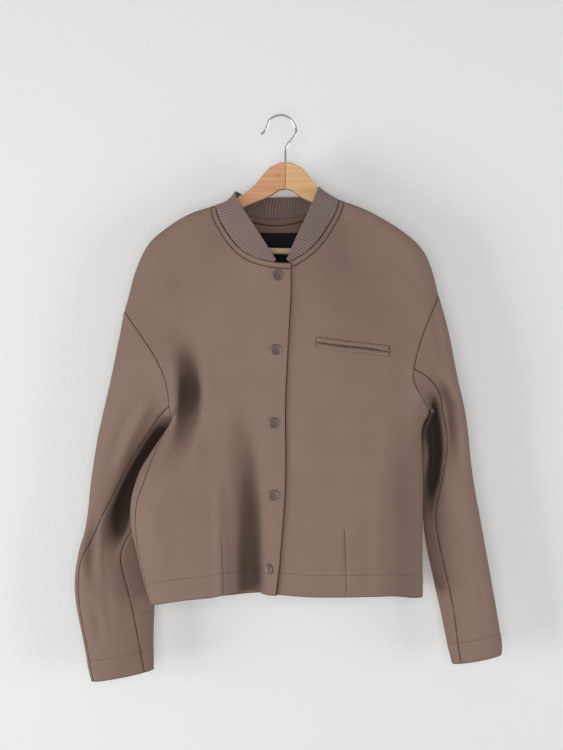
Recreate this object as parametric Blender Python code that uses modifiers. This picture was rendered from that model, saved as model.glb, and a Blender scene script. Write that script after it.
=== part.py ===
# A cropped sweat jacket with a ribbed collar, hung on a wooden hanger.
# The origin is the seat of the hanger's hook, +Z is up, and the jacket's front faces -Y.
# Tables are in millimetres: "across" is +X, "drop" is the distance below the hook's seat
# and "depth" is +Y, so the front of the jacket has negative depths. Right and left are the wearer's.

import math
from collections import namedtuple

import bmesh
import bpy
from mathutils import Vector

MM = 0.001

# ---------------------------------------------------------------- driving dimensions

CLOTH_THICKNESS = 2.0
COLLAR_THICKNESS = 2.6
SEAM_GAP = 0.3
LAP_WIDTH = 28.0
LAP_FLAT = 4.0
LAP_FADE = 45.0
LAYER_STEP = CLOTH_THICKNESS + 1.5

SHOULDER_COLUMNS = 8
COLLARED_COLUMNS = 8
PLACKET_COLUMNS = 3
BACK_NECK_COLUMNS = 12
UPPER_ARMHOLE_ROWS = 8
LOWER_ARMHOLE_ROWS = 4
SIDE_ROWS = 14
EDGE_CROWDING = 1.6
SHOULDER_CROWDING = 2.2
NECK_CROWDING = 1.6
BACK_NECK_CROWDING = 1.8
NECK_SHARE = 0.5
TOP_FADE = (24, 3)
UNDERARM_GAP = 1.0
UNDERARM_REACH = 45.0

RIB_COUNT = 108
RIB_HEIGHT = 0.9
COLLAR_ROWS = 2
COLLAR_REACH = 3
COLLAR_END_HEIGHT = 3.0
COLLAR_GAP = 0.6

SNAP_STEPS = 16

WELT_HEIGHT = 7.0
WELT_GAP = 1.2
WELT_THICKNESS = 1.6
WELT_COLUMNS = 10

LABEL_THICKNESS = 0.8
LABEL_CLEARANCE = 2.2

HANGER_THICKNESS = 12.0
HANGER_EDGE = 2.5
HANGER_CENTRE = 6.0
HANGER_TILT = 1.2
HANGER_PIVOT_DROP = 120.0
BAR_DIAMETER = 10.0
BAR_HALF_LENGTH = 190.1
BAR_DROP = 216.0
BAR_SIDES = 14
BAR_SHARP_ANGLE = 40.0
WIRE_DIAMETER = 3.8

# ---------------------------------------------------------------- shape tables

Spot = namedtuple("Spot", "across drop")
Place = namedtuple("Place", "across drop depth")
Turned = namedtuple("Turned", "radius height")
SideRow = namedtuple("SideRow", "drop seam outline")
DepthRow = namedtuple("DepthRow", "drop right middle left reach edge_right edge_left round_right round_left")
FoldRow = namedtuple("FoldRow", "drop across toward_right toward_left depth")
SleeveRow = namedtuple(
    "SleeveRow",
    "out_across out_drop out_depth in_across in_drop in_depth front back follow front_seam back_seam",
)

# The shoulder lines, from the neck point down to the sleeve.
RIGHT_SHOULDER = (
    Spot(-105, 142), Spot(-119.5, 142), Spot(-154, 157), Spot(-180, 175), Spot(-204, 189.5),
    Spot(-214.5, 200.5), Spot(-224, 220), Spot(-236.5, 252.5), Spot(-248, 300), Spot(-251.3, 309.7),
)
LEFT_SHOULDER = (
    Spot(91.4, 133.4), Spot(98, 133), Spot(124, 144), Spot(149, 154), Spot(180, 175),
    Spot(209, 193.5), Spot(221, 203), Spot(230, 217), Spot(239, 239), Spot(250.3, 285),
)

# The armhole seams as the front shows them, from the shoulder down to the underarm.
RIGHT_ARMHOLE = (
    Spot(-251.3, 309.7), Spot(-228, 342), Spot(-204.5, 374.5), Spot(-188.5, 400.5),
    Spot(-178.5, 424.5), Spot(-176, 443), Spot(-174, 469.5), Spot(-175, 486),
)
LEFT_ARMHOLE = (
    Spot(250.3, 285), Spot(243, 304), Spot(227, 338.5), Spot(212, 379), Spot(206, 405),
    Spot(205, 423), Spot(213, 439.5), Spot(228.5, 460), Spot(240, 473.5),
)

# The side seams, with the jacket's outline beside them. The right seam has turned to the front.
RIGHT_SIDE = (
    SideRow(486, -175, -175), SideRow(509, -186, -190), SideRow(531, -197, -207),
    SideRow(563, -208.5, -228), SideRow(593, -218, -238.5), SideRow(605, -224, -242.5),
    SideRow(629, -227, -243), SideRow(661, -226, -239.5), SideRow(699, -221.5, -230),
    SideRow(738, -213.5, -220), SideRow(774, -205.5, -208),
)
LEFT_SIDE = (
    SideRow(473.5, 240, 240), SideRow(483, 230, 230), SideRow(497, 223.5, 223.5),
    SideRow(528, 225, 225), SideRow(582, 226, 226), SideRow(657, 226, 226), SideRow(767, 226, 226),
)

# The upper outlines of the sleeves, which round the body's panels beside them.
RIGHT_SLEEVE_OUTLINE = (Spot(-251.3, 309.7), Spot(-261, 357.5), Spot(-273.5, 416.5), Spot(-286, 472))
LEFT_SLEEVE_OUTLINE = (Spot(250.3, 285), Spot(261, 320), Spot(271, 365), Spot(283, 432), Spot(293, 477))

RIGHT_NECKLINE = (
    Spot(-105, 142), Spot(-102, 160), Spot(-93, 177), Spot(-74, 206.5), Spot(-56, 224.5),
    Spot(-37, 234), Spot(-12, 239), Spot(14.4, 240.5),
)
LEFT_NECKLINE = (
    Spot(91.4, 133.4), Spot(86, 154), Spot(72.5, 178), Spot(57, 203.5), Spot(35, 225.5),
    Spot(13, 238), Spot(-13.6, 242),
)
BACK_NECKLINE = (Spot(-105, 142), Spot(-70, 152), Spot(-6, 159.5), Spot(60, 147), Spot(91.4, 133.4))

# The edge of the right front, which laps over the left front.
LAP_EDGE = (
    Spot(14.4, 240.5), Spot(15, 280), Spot(12, 337), Spot(8, 411), Spot(6, 460), Spot(6.5, 535),
    Spot(6, 587), Spot(1, 660), Spot(-3, 711), Spot(-8, 755),
)

RIGHT_HEM = (
    Spot(-205.5, 774), Spot(-175, 765), Spot(-142, 760), Spot(-110, 758), Spot(-90, 754),
    Spot(-66, 757), Spot(-37, 758), Spot(-8, 755),
)
LEFT_HEM = (
    Spot(226, 767), Spot(212, 764), Spot(160, 758.5), Spot(100, 758), Spot(34, 757),
    Spot(-8, 754), Spot(-36, 755),
)
BACK_HEM = (Spot(-210.5, 774), Spot(-120, 771), Spot(0, 768), Spot(120, 768), Spot(226, 767))

# How far the front and the back stand from the hanger's plane: near the right side, in the
# middle and near the left side. The edge columns are the depth of the outline itself, and
# the round columns are how far in from it the cloth curves over.
FRONT_DEPTH = (
    DepthRow(130, 13, 36, 13, 100, 0, 0, 9, 9), DepthRow(180, 14, 50, 14, 106, 0, 0, 16, 16),
    DepthRow(240, 16, 57, 16, 132, 0, 0, 26, 26), DepthRow(300, 24, 57, 22, 165, 0, 0, 36, 36),
    DepthRow(380, 33, 55, 30, 195, 0, 0, 46, 46), DepthRow(480, 50, 55, 36, 220, -2, 0, 55, 45),
    DepthRow(580, 68, 57, 42, 225, -14, 0, 65, 45), DepthRow(680, 77, 60, 47, 225, -18, 2, 65, 45),
    DepthRow(780, 78, 62, 50, 225, -15, 4, 60, 45),
)
BACK_DEPTH = (
    DepthRow(130, 13, 44, 13, 100, 0, 0, 9, 9), DepthRow(160, 13, 56, 13, 104, 0, 0, 12, 12),
    DepthRow(200, 14, 57, 14, 118, 0, 0, 20, 20), DepthRow(250, 14, 52, 15, 150, 0, 0, 26, 26),
    DepthRow(310, 15, 46, 19, 180, 0, 0, 36, 36), DepthRow(380, 15, 42, 23, 195, 0, 0, 46, 46),
    DepthRow(480, 7, 39, 27, 190, -2, 0, 55, 45), DepthRow(580, 0, 37, 29, 180, -14, 0, 60, 45),
    DepthRow(680, 1, 36, 30, 180, -18, 2, 60, 45), DepthRow(780, 5, 36, 31, 180, -15, 4, 60, 45),
)
DEPTH_CENTRE = -5.0
DEPTH_POWER = 1.2

# Folds press the cloth in: at each drop, the centre, the width on either side and the depth.
FRONT_FOLDS = (
    (  # below the right underarm
        FoldRow(325, -140, 18, 20, 0), FoldRow(380, -142, 19, 22, 12), FoldRow(430, -143, 21, 24, 24),
        FoldRow(468, -145, 22, 25, 28), FoldRow(500, -152, 22, 26, 20), FoldRow(535, -165, 22, 28, 8),
        FoldRow(580, -176, 22, 28, 0),
    ),
    (  # beside the snaps, opening towards the hem
        FoldRow(420, -50, 30, 26, 0), FoldRow(500, -52, 36, 30, 8), FoldRow(580, -52, 42, 38, 18),
        FoldRow(660, -50, 44, 41, 34), FoldRow(720, -50, 44, 43, 48), FoldRow(775, -50, 44, 46, 58),
    ),
    (  # shallow, on the left front
        FoldRow(560, 166, 34, 34, 0), FoldRow(640, 168, 36, 36, 6), FoldRow(775, 168, 38, 38, 10),
    ),
)
BACK_FOLDS = (
    (
        FoldRow(330, -95, 30, 34, 0), FoldRow(470, -100, 36, 38, 8), FoldRow(620, -95, 40, 42, 10),
        FoldRow(775, -90, 42, 44, 12),
    ),
    (
        FoldRow(400, 70, 34, 32, 0), FoldRow(560, 74, 40, 38, 9), FoldRow(775, 80, 44, 42, 14),
    ),
)

# Sleeves, a row for each ring: its outer and inner ends, how far its front and back stand from
# the line between them, how much it still follows the armhole, and the angles of its two seams.
# An angle is 0 at the outer end, 90 in front, 180 at the inner end and 270 behind.
RIGHT_SLEEVE = (
    SleeveRow(-251.3, 309.7, 0, -175, 486, -2, 32, 22, 1.0, 165, 240),
    SleeveRow(-254.5, 325, 0, -180, 488, 4, 32, 22, 0.82, 162, 238),
    SleeveRow(-258.5, 345, 0, -185, 491, 11, 31, 22, 0.62, 158, 234),
    SleeveRow(-264, 372, 1, -189, 496, 18, 31, 21, 0.42, 151, 228),
    SleeveRow(-272, 410, 2, -191, 506, 24, 31, 20, 0.24, 140, 220),
    SleeveRow(-284, 465, 3, -191, 523, 29, 30, 18, 0.1, 122, 212),
    SleeveRow(-296, 515, 4, -190, 548, 33, 28, 17, 0, 104, 200),
    SleeveRow(-303, 560, 4, -193, 580, 36, 26, 16, 0, 88, 178),
    SleeveRow(-308.5, 600, 4, -197, 612, 38, 25, 16, 0, 76, 152),
    SleeveRow(-311, 635, 2, -200, 640, 38, 24, 16, 0, 60, 125),
    SleeveRow(-317, 672, 0, -202, 670, 37, 23, 16, 0, 45, 100),
    SleeveRow(-325.5, 704, -2, -203, 698, 36, 22, 15, 0, 31, 93),
    SleeveRow(-330, 726, -3, -203.5, 722, 34, 22, 15, 0, 28, 99),
    SleeveRow(-331, 753, -4, -204.5, 748, 32, 22, 14, 0, 28, 107),
    SleeveRow(-328.5, 779, -4, -206, 775, 30, 22, 14, 0, 27, 114),
    SleeveRow(-322, 811, -4, -207, 805, 27, 21, 13, 0, 25, 120),
    SleeveRow(-314, 848, -4, -208, 842, 24, 21, 13, 0, 25, 127),
    SleeveRow(-307, 888, -4, -207.5, 876, 22, 20, 13, 0, 25, 134),
    SleeveRow(-303, 902, -4, -207.5, 889.5, 21, 19, 13, 0, 25, 137),
)
LEFT_SLEEVE = (
    SleeveRow(250.3, 285, 0, 240, 473.5, 0, 30, 22, 1.0, 112, 248),
    SleeveRow(254, 297, 0, 245, 475, 5, 30, 22, 0.82, 111, 246),
    SleeveRow(259, 315, 0, 249, 477, 11, 30, 22, 0.62, 109, 244),
    SleeveRow(264.5, 337, 0, 250, 480, 18, 30, 21, 0.44, 106, 242),
    SleeveRow(271, 365, 0, 247.5, 487, 25, 30, 20, 0.27, 102, 240),
    SleeveRow(278, 405, 0, 241, 501, 32, 30, 19, 0.13, 96, 238),
    SleeveRow(288, 452, 1, 232, 522, 37, 29, 17, 0.04, 90, 236),
    SleeveRow(297.5, 500, 2, 222, 547, 40, 28, 16, 0, 84, 236),
    SleeveRow(301.5, 545, 3, 219, 573, 40, 27, 15, 0, 86, 238),
    SleeveRow(307, 585, 3, 226, 597, 36, 26, 15, 0, 106, 240),
    SleeveRow(314, 625, 2, 229.5, 631, 31, 25, 15, 0, 130, 240),
    SleeveRow(321.5, 668, 1, 231.5, 671, 28, 24, 14, 0, 128, 240),
    SleeveRow(329, 710, 0, 239, 712, 26, 23, 14, 0, 126, 240),
    SleeveRow(336.5, 752, 0, 249, 754, 24, 22, 13, 0, 125, 240),
    SleeveRow(343.5, 792, 0, 258, 796, 22, 21, 13, 0, 125, 240),
    SleeveRow(349.5, 828, 0, 265.5, 836, 20, 20, 13, 0, 130, 240),
    SleeveRow(352.5, 850, 0, 272.5, 866, 17, 19, 12, 0, 134, 240),
    SleeveRow(350.5, 860, 0, 276, 879, 16, 18, 12, 0, 135, 240),
)
UPPER_SLEEVE_COLUMNS = 2 * UPPER_ARMHOLE_ROWS
UNDER_SLEEVE_COLUMNS = 2 * LOWER_ARMHOLE_ROWS
SLEEVE_ROUNDNESS = 0.9

# The collar's upper edge, from the right front end round the back to the left front end.
COLLAR_TOP = (
    Place(-9.5, 236, -56), Place(-30, 203, -49), Place(-52, 168, -37), Place(-70, 138, -20),
    Place(-76, 121, 4), Place(-52, 124, 45), Place(-6, 121.5, 57), Place(40, 121, 46),
    Place(60, 112, 12), Place(58.5, 119, -17), Place(41, 162, -38), Place(24, 199, -50),
    Place(8.5, 235.5, -58),
)
COLLAR_TOP_CORNERS = (0, 4, 8, 12)
COLLAR_RIGHT_END = -12.0
COLLAR_LEFT_END = 13.0

SNAPS = (Spot(-6, 259.5), Spot(-9, 374.5), Spot(-12, 488), Spot(-12.5, 600), Spot(-18.5, 715))

# Half of a snap's section, from the middle of its face over the rim to its base.
SNAP_SECTION = (
    Turned(0, 1.3), Turned(5.4, 1.3), Turned(6.4, 1.9), Turned(7.8, 1.7), Turned(8.5, 0.9),
    Turned(8.5, 0), Turned(0, 0),
)
SNAP_RADIUS = max(corner.radius for corner in SNAP_SECTION)

# The pocket's opening, between its two welts.
POCKET = (Spot(54, 363), Spot(93, 368.5), Spot(130, 372), Spot(168, 377))

LABEL_RIGHT, LABEL_LEFT = -35.0, 26.5
LABEL_TOP, LABEL_BOTTOM = 180.0, 229.0
LABEL_COLUMNS, LABEL_ROWS = 8, 5

HOOK_WIRE = (
    Spot(-33, 28.5), Spot(-27.5, 24.5), Spot(-23, 14), Spot(-19, 5.5), Spot(-11, 0.2), Spot(0, -1.9),
    Spot(11, 1.8), Spot(19, 11), Spot(22.9, 20), Spot(22, 29), Spot(16.5, 36.6), Spot(9.5, 45),
    Spot(6.3, 53), Spot(6, 60), Spot(6, 72),
)
HOOK_SAMPLES = 46

# Half of the hanger's outline, out from its centre joint: the upper edge, the end and the lower edge.
HANGER_OUTLINE = (
    Spot(0.15, 73), Spot(10, 75), Spot(25, 82), Spot(34, 91), Spot(40, 100), Spot(50, 112), Spot(64, 124),
    Spot(80, 134), Spot(111, 151.5), Spot(150, 171), Spot(194, 191.5), Spot(201, 197), Spot(203, 205),
    Spot(203, 222), Spot(200, 228), Spot(194, 228), Spot(190.4, 224), Spot(190.4, 208), Spot(187, 203.5),
    Spot(140, 184), Spot(72, 150), Spot(26, 130), Spot(10, 119), Spot(0.15, 117),
)


# ---------------------------------------------------------------- smooth tables and curves


def slopes(keys, values, limited):
    """The slope at each key. A limited slope never makes the curve pass the rows' own values."""
    steps = [(values[i + 1] - values[i]) / (keys[i + 1] - keys[i]) for i in range(len(keys) - 1)]
    found = [steps[0]]
    for i in range(1, len(keys) - 1):
        before, after = steps[i - 1], steps[i]
        gap_before, gap_after = keys[i] - keys[i - 1], keys[i + 1] - keys[i]
        slope = (before * gap_after + after * gap_before) / (gap_before + gap_after)
        if limited and before * after <= 0:
            slope = 0.0
        elif limited:
            steepest = 3 * min(abs(before), abs(after))
            slope = max(-steepest, min(steepest, slope))
        found.append(slope)
    found.append(steps[-1])
    return found


class Track:
    """Smooth columns of numbers along increasing keys. Past its ends it keeps its end values."""

    def __init__(self, keys, columns, limited=True):
        self.keys = list(keys)
        self.columns = [list(column) for column in columns]
        self.slopes = [slopes(self.keys, column, limited) for column in self.columns]

    def at(self, key):
        key = max(self.keys[0], min(self.keys[-1], key))
        i = 0
        while i < len(self.keys) - 2 and key > self.keys[i + 1]:
            i += 1
        span = self.keys[i + 1] - self.keys[i]
        t = (key - self.keys[i]) / span
        keep, move = (1 + 2 * t) * (1 - t) ** 2, t * t * (3 - 2 * t)
        leave, arrive = t * (1 - t) ** 2 * span, t * t * (t - 1) * span
        return [
            keep * column[i] + move * column[i + 1] + leave * slope[i] + arrive * slope[i + 1]
            for column, slope in zip(self.columns, self.slopes)
        ]


def track_of(rows):
    """A table with a drop column as a Track of its other columns."""
    others = [name for name in rows[0]._fields if name != "drop"]
    return Track([row.drop for row in rows], [[getattr(row, name) for row in rows] for name in others])


class Curve:
    """A smooth curve through points, read by the fraction of its length."""

    SAMPLES_PER_SPAN = 10

    def __init__(self, points):
        chords = running_lengths(points)
        track = Track(chords, list(zip(*points)), limited=False)
        count = self.SAMPLES_PER_SPAN * (len(points) - 1)
        self.points = [track.at(chords[-1] * i / count) for i in range(count + 1)]
        self.lengths = running_lengths(self.points)
        self.length = self.lengths[-1]

    def at(self, fraction):
        wanted = max(0.0, min(1.0, fraction)) * self.length
        i = 0
        while i < len(self.lengths) - 2 and wanted > self.lengths[i + 1]:
            i += 1
        t = (wanted - self.lengths[i]) / (self.lengths[i + 1] - self.lengths[i])
        return [a + (b - a) * t for a, b in zip(self.points[i], self.points[i + 1])]


def running_lengths(points):
    lengths = [0.0]
    for a, b in zip(points, points[1:]):
        lengths.append(lengths[-1] + math.dist(a, b))
    return lengths


def length_shares(points):
    """Each point's share of the way along a path."""
    lengths = running_lengths(points)
    return [length / lengths[-1] for length in lengths]


def distance_to(path, across, drop):
    """The distance from a spot to a path of points."""
    nearest = float("inf")
    for (ax, ad), (bx, bd) in zip(path, path[1:]):
        run_x, run_d = bx - ax, bd - ad
        t = ((across - ax) * run_x + (drop - ad) * run_d) / (run_x * run_x + run_d * run_d)
        t = max(0.0, min(1.0, t))
        nearest = min(nearest, math.hypot(across - ax - t * run_x, drop - ad - t * run_d))
    return nearest


def smooth_step(t):
    t = max(0.0, min(1.0, t))
    return t * t * (3 - 2 * t)


# ---------------------------------------------------------------- the form of the body

OUTLINE_TOLERANCE = 0.5
SIDE_OUTLINES = {
    "right": [
        Curve(RIGHT_SHOULDER + RIGHT_SLEEVE_OUTLINE[1:]).points,
        Curve([Spot(row.outline, row.drop) for row in RIGHT_SIDE]).points,
    ],
    "left": [
        Curve(LEFT_SHOULDER + LEFT_SLEEVE_OUTLINE[1:]).points,
        Curve([Spot(row.outline, row.drop) for row in LEFT_SIDE]).points,
    ],
}
FRONT_TRACK = track_of(FRONT_DEPTH)
BACK_TRACK = track_of(BACK_DEPTH)
FRONT_FOLD_TRACKS = [track_of(rows) for rows in FRONT_FOLDS]
BACK_FOLD_TRACKS = [track_of(rows) for rows in BACK_FOLDS]
RIGHT_OUTLINE = track_of(RIGHT_SIDE)


def rounding(distance, reach):
    """0 on the outline, rising as a quarter circle to 1 at the reach."""
    t = min(1.0, max(0.0, distance - OUTLINE_TOLERANCE) / reach)
    return math.sqrt(t * (2 - t))


def fold_depth(tracks, across, drop):
    total = 0.0
    for track in tracks:
        centre, toward_right, toward_left, depth = track.at(drop)
        offset = across - centre
        t = offset / toward_left if offset > 0 else -offset / toward_right
        if t < 1:
            total += depth * 0.5 * (1 + math.cos(math.pi * t))
    return total


def standing_depth(track, folds, across, drop, sign):
    """The depth of the front (sign -1) or back (sign 1) of the body at a spot."""
    right, middle, left, reach, edge_right, edge_left, round_right, round_left = track.at(drop)
    share = smooth_step((across + reach) / (2 * reach))
    side = right + (left - right) * share
    edge = edge_right + (edge_left - edge_right) * share
    t = min(1.0, abs(across - DEPTH_CENTRE) / reach)
    full = side + (middle - side) * max(0.0, math.cos(math.pi * t / 2)) ** DEPTH_POWER
    full -= fold_depth(folds, across, drop)
    gap_right = min(distance_to(path, across, drop) for path in SIDE_OUTLINES["right"])
    gap_left = min(distance_to(path, across, drop) for path in SIDE_OUTLINES["left"])
    rise = rounding(gap_right, round_right) * rounding(gap_left, round_left)
    return edge + (sign * full - edge) * rise


def front_point(across, drop):
    depth = standing_depth(FRONT_TRACK, FRONT_FOLD_TRACKS, across, drop, -1)
    return Vector((across, depth, -drop))


def back_point(across, drop):
    depth = standing_depth(BACK_TRACK, BACK_FOLD_TRACKS, across, drop, 1)
    return Vector((across, depth, -drop))


def wrapped_back_point(across, drop):
    """A point of the back panel. Past the right outline it has turned to the front."""
    outline = RIGHT_OUTLINE.at(drop)[1]
    if drop > RIGHT_SIDE[0].drop and across < outline:
        return front_point(2 * outline - across, drop)
    return back_point(across, drop)


def facing(point_at, across, drop, step=3.0):
    """The unit normal of a surface at a spot, on the side away from the hanger."""
    along = point_at(across + step, drop) - point_at(across - step, drop)
    down = point_at(across, drop + step) - point_at(across, drop - step)
    normal = along.cross(down).normalized()
    outward = -1 if point_at is front_point else 1
    return normal if normal.y * outward > 0 else -normal


# ---------------------------------------------------------------- cloth panels


def crowded(count, power=EDGE_CROWDING):
    """Fractions from 0 to 1, closer together at 0."""
    return [(i / count) ** power for i in range(count + 1)]


def armhole_fractions(seam_angle):
    """Where the rows of a panel meet the armhole, with the sleeve's seam at the given angle."""
    seam = seam_angle / 180
    upper = [seam * f for f in crowded(UPPER_ARMHOLE_ROWS, SHOULDER_CROWDING)]
    lower = [seam + (1 - seam) * i / LOWER_ARMHOLE_ROWS for i in range(1, LOWER_ARMHOLE_ROWS + 1)]
    return upper + lower


def outer_edge(armhole, side_rows, fractions, wrapped=False):
    """The spots down a panel's armhole and side seam, and each one's share of the way down.

    A wrapped edge is the same seam, laid out as if it had not turned past the outline."""
    side = Curve([Spot(row.seam, row.drop) for row in side_rows])
    outline = track_of(side_rows)
    spots = [armhole.at(f) for f in fractions]
    for i in range(1, SIDE_ROWS + 1):
        across, drop = side.at(i / SIDE_ROWS)
        spots.append([2 * outline.at(drop)[1] - across, drop] if wrapped else [across, drop])
    first, last = spots[0][1], spots[-1][1]
    return spots, [(spot[1] - first) / (last - first) for spot in spots]


def filled_patch(top, bottom, left, right, columns, rows):
    """Spots inside four edges of spots, spread by the given fractions.

    Rows run straight from side to side, and take up the top edge's form near it alone."""
    patch = []
    for i, v in enumerate(rows):
        line = []
        for j, u in enumerate(columns):
            spot = []
            for axis in (0, 1):
                straight = (1 - u) * left[i][axis] + u * right[i][axis]
                raised = top[j][axis] - (1 - u) * top[0][axis] - u * top[-1][axis]
                lowered = bottom[j][axis] - (1 - u) * bottom[0][axis] - u * bottom[-1][axis]
                spot.append(straight + (1 - v) ** TOP_FADE[axis] * raised + v * lowered)
            line.append(spot)
        patch.append(line)
    return patch


def fraction_at_across(curve, across):
    """Where a curve that runs towards the centre line comes to a given place across."""
    low, high = 0.0, 1.0
    start = curve.at(0)[0]
    for _ in range(30):
        middle = (low + high) / 2
        if abs(curve.at(middle)[0] - start) < abs(across - start):
            low = middle
        else:
            high = middle
    return low


def neckline_fractions(curve, collar_end):
    """The columns along a front's neckline: under the collar, then along the placket's top."""
    end = fraction_at_across(curve, collar_end)
    fractions = [end * f for f in crowded(COLLARED_COLUMNS, NECK_CROWDING)[1:]]
    return fractions + [end + (1 - end) * i / PLACKET_COLUMNS for i in range(1, PLACKET_COLUMNS + 1)]


def front_patch(shoulder, neckline, collar_end, hem, edge_spots, shares, lap_spots):
    """The spots of a front panel, from its side to its centre edge."""
    outward = crowded(SHOULDER_COLUMNS)
    shoulder_curve, neck_curve, hem_curve = Curve(shoulder), Curve(neckline), Curve(hem)
    inward = neckline_fractions(neck_curve, collar_end)
    top = [shoulder_curve.at(1 - f) for f in outward]
    top += [neck_curve.at(f) for f in inward]
    columns = [NECK_SHARE * f for f in outward]
    start, end = neckline[0].across, neckline[-1].across
    for f in inward:
        columns.append(NECK_SHARE + (1 - NECK_SHARE) * (neck_curve.at(f)[0] - start) / (end - start))
    bottom = [hem_curve.at(u) for u in columns]
    lap = Curve(lap_spots)
    centre = [lap.at(v) for v in shares]
    return filled_patch(top, bottom, edge_spots, centre, columns, shares)


def under_lap_point(across, drop):
    """A point of the left front, which sinks one layer beneath the right front."""
    edge = LAP_TRACK.at(drop)[0]
    sink = LAYER_STEP * (1 - smooth_step((across - edge - LAP_FLAT) / LAP_FADE))
    return front_point(across, drop) - facing(front_point, across, drop) * sink


LAP_TRACK = track_of(LAP_EDGE)
RIGHT_ARMHOLE_CURVE = Curve(RIGHT_ARMHOLE)
LEFT_ARMHOLE_CURVE = Curve(LEFT_ARMHOLE)
BACK_NECK_RIGHT = 0.24
BACK_NECK_LEFT = 0.70


def right_front_grid():
    fractions = armhole_fractions(RIGHT_SLEEVE[0].front_seam)
    spots, shares = outer_edge(RIGHT_ARMHOLE_CURVE, RIGHT_SIDE, fractions)
    patch = front_patch(
        RIGHT_SHOULDER, RIGHT_NECKLINE, COLLAR_RIGHT_END, RIGHT_HEM, spots, shares, LAP_EDGE
    )
    return [[front_point(*spot) for spot in line] for line in patch]


def left_front_grid():
    fractions = armhole_fractions(LEFT_SLEEVE[0].front_seam)
    spots, shares = outer_edge(LEFT_ARMHOLE_CURVE, LEFT_SIDE, fractions)
    lap = [Spot(spot.across - LAP_WIDTH, spot.drop) for spot in LAP_EDGE]
    lap[0] = LEFT_NECKLINE[-1]
    lap[-1] = LEFT_HEM[-1]
    patch = front_patch(LEFT_SHOULDER, LEFT_NECKLINE, COLLAR_LEFT_END, LEFT_HEM, spots, shares, lap)
    return [[under_lap_point(*spot) for spot in line] for line in patch]


def back_grid():
    right_spots, right_shares = outer_edge(
        RIGHT_ARMHOLE_CURVE,
        RIGHT_SIDE,
        armhole_fractions(360 - RIGHT_SLEEVE[0].back_seam),
        wrapped=True,
    )
    left_spots, left_shares = outer_edge(
        LEFT_ARMHOLE_CURVE,
        LEFT_SIDE,
        armhole_fractions(360 - LEFT_SLEEVE[0].back_seam),
    )
    outward = crowded(SHOULDER_COLUMNS)
    right_shoulder, left_shoulder = Curve(RIGHT_SHOULDER), Curve(LEFT_SHOULDER)
    neck, hem = Curve(BACK_NECKLINE), Curve(BACK_HEM)
    half = [f / 2 for f in crowded(BACK_NECK_COLUMNS // 2, BACK_NECK_CROWDING)]
    neck_steps = half[1:] + [1 - f for f in reversed(half[1:-1])]
    top = [right_shoulder.at(1 - f) for f in outward]
    top += [neck.at(f) for f in neck_steps]
    top += [left_shoulder.at(1 - f) for f in reversed(outward)]
    columns = [BACK_NECK_RIGHT * f for f in outward]
    columns += [BACK_NECK_RIGHT + (BACK_NECK_LEFT - BACK_NECK_RIGHT) * f for f in neck_steps]
    columns += [1 - (1 - BACK_NECK_LEFT) * f for f in reversed(outward)]
    bottom = [hem.at(u) for u in columns]
    shares = [(a + b) / 2 for a, b in zip(right_shares, left_shares)]
    patch = filled_patch(top, bottom, right_spots, left_spots, columns, shares)
    return [[wrapped_back_point(*spot) for spot in line] for line in patch]


# ---------------------------------------------------------------- sleeves


def flat_ring_point(row, angle):
    """A point of a sleeve's ring by its angle."""
    turn = math.radians(angle)
    t = (1 - math.cos(turn)) / 2
    outer = Vector((row.out_across, row.out_depth, -row.out_drop))
    inner = Vector((row.in_across, row.in_depth, -row.in_drop))
    swell = abs(math.sin(turn)) ** SLEEVE_ROUNDNESS
    depth = -row.front * swell if math.sin(turn) > 0 else row.back * swell
    return outer.lerp(inner, t) + Vector((0, depth, 0))


def armhole_point(front_edge, back_edge, front_fractions, back_fractions, angle):
    """A point of the armhole by its angle, read along the edges of the panels around it."""
    angle = angle % 360
    if angle <= 180:
        return along_edge(front_edge, front_fractions, angle / 180)
    return along_edge(back_edge, back_fractions, (360 - angle) / 180)


def along_edge(edge, fractions, fraction):
    i = 0
    while i < len(fractions) - 2 and fraction > fractions[i + 1]:
        i += 1
    t = (fraction - fractions[i]) / (fractions[i + 1] - fractions[i])
    return edge[i].lerp(edge[i + 1], max(0.0, min(1.0, t)))


def sleeve_angles(first, row, fractions_front, fractions_back):
    """The angles of a ring's columns, for the upper and the under piece."""
    upper_first = [-180 * f for f in reversed(fractions_back[: UPPER_ARMHOLE_ROWS + 1])]
    upper_first += [180 * f for f in fractions_front[1 : UPPER_ARMHOLE_ROWS + 1]]
    under_first = [180 * f for f in fractions_front[UPPER_ARMHOLE_ROWS:]]
    under_first += [360 - 180 * f for f in reversed(fractions_back[UPPER_ARMHOLE_ROWS:-1])]
    back, front = row.back_seam - 360, row.front_seam
    steps = UPPER_SLEEVE_COLUMNS
    upper_even = [back + (front - back) * i / steps for i in range(steps + 1)]
    steps = UNDER_SLEEVE_COLUMNS
    under_even = [front + (row.back_seam - front) * i / steps for i in range(steps + 1)]
    memory = row.follow
    shift_front, shift_back = row.front_seam - first.front_seam, row.back_seam - first.back_seam
    upper, under = [], []
    for i, (start, even) in enumerate(zip(upper_first, upper_even)):
        share = i / UPPER_SLEEVE_COLUMNS
        moved = start + shift_back * (1 - share) + shift_front * share
        upper.append(even + (moved - even) * memory)
    for i, (start, even) in enumerate(zip(under_first, under_even)):
        share = i / UNDER_SLEEVE_COLUMNS
        moved = start + shift_front * (1 - share) + shift_back * share
        under.append(even + (moved - even) * memory)
    return upper, under


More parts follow.
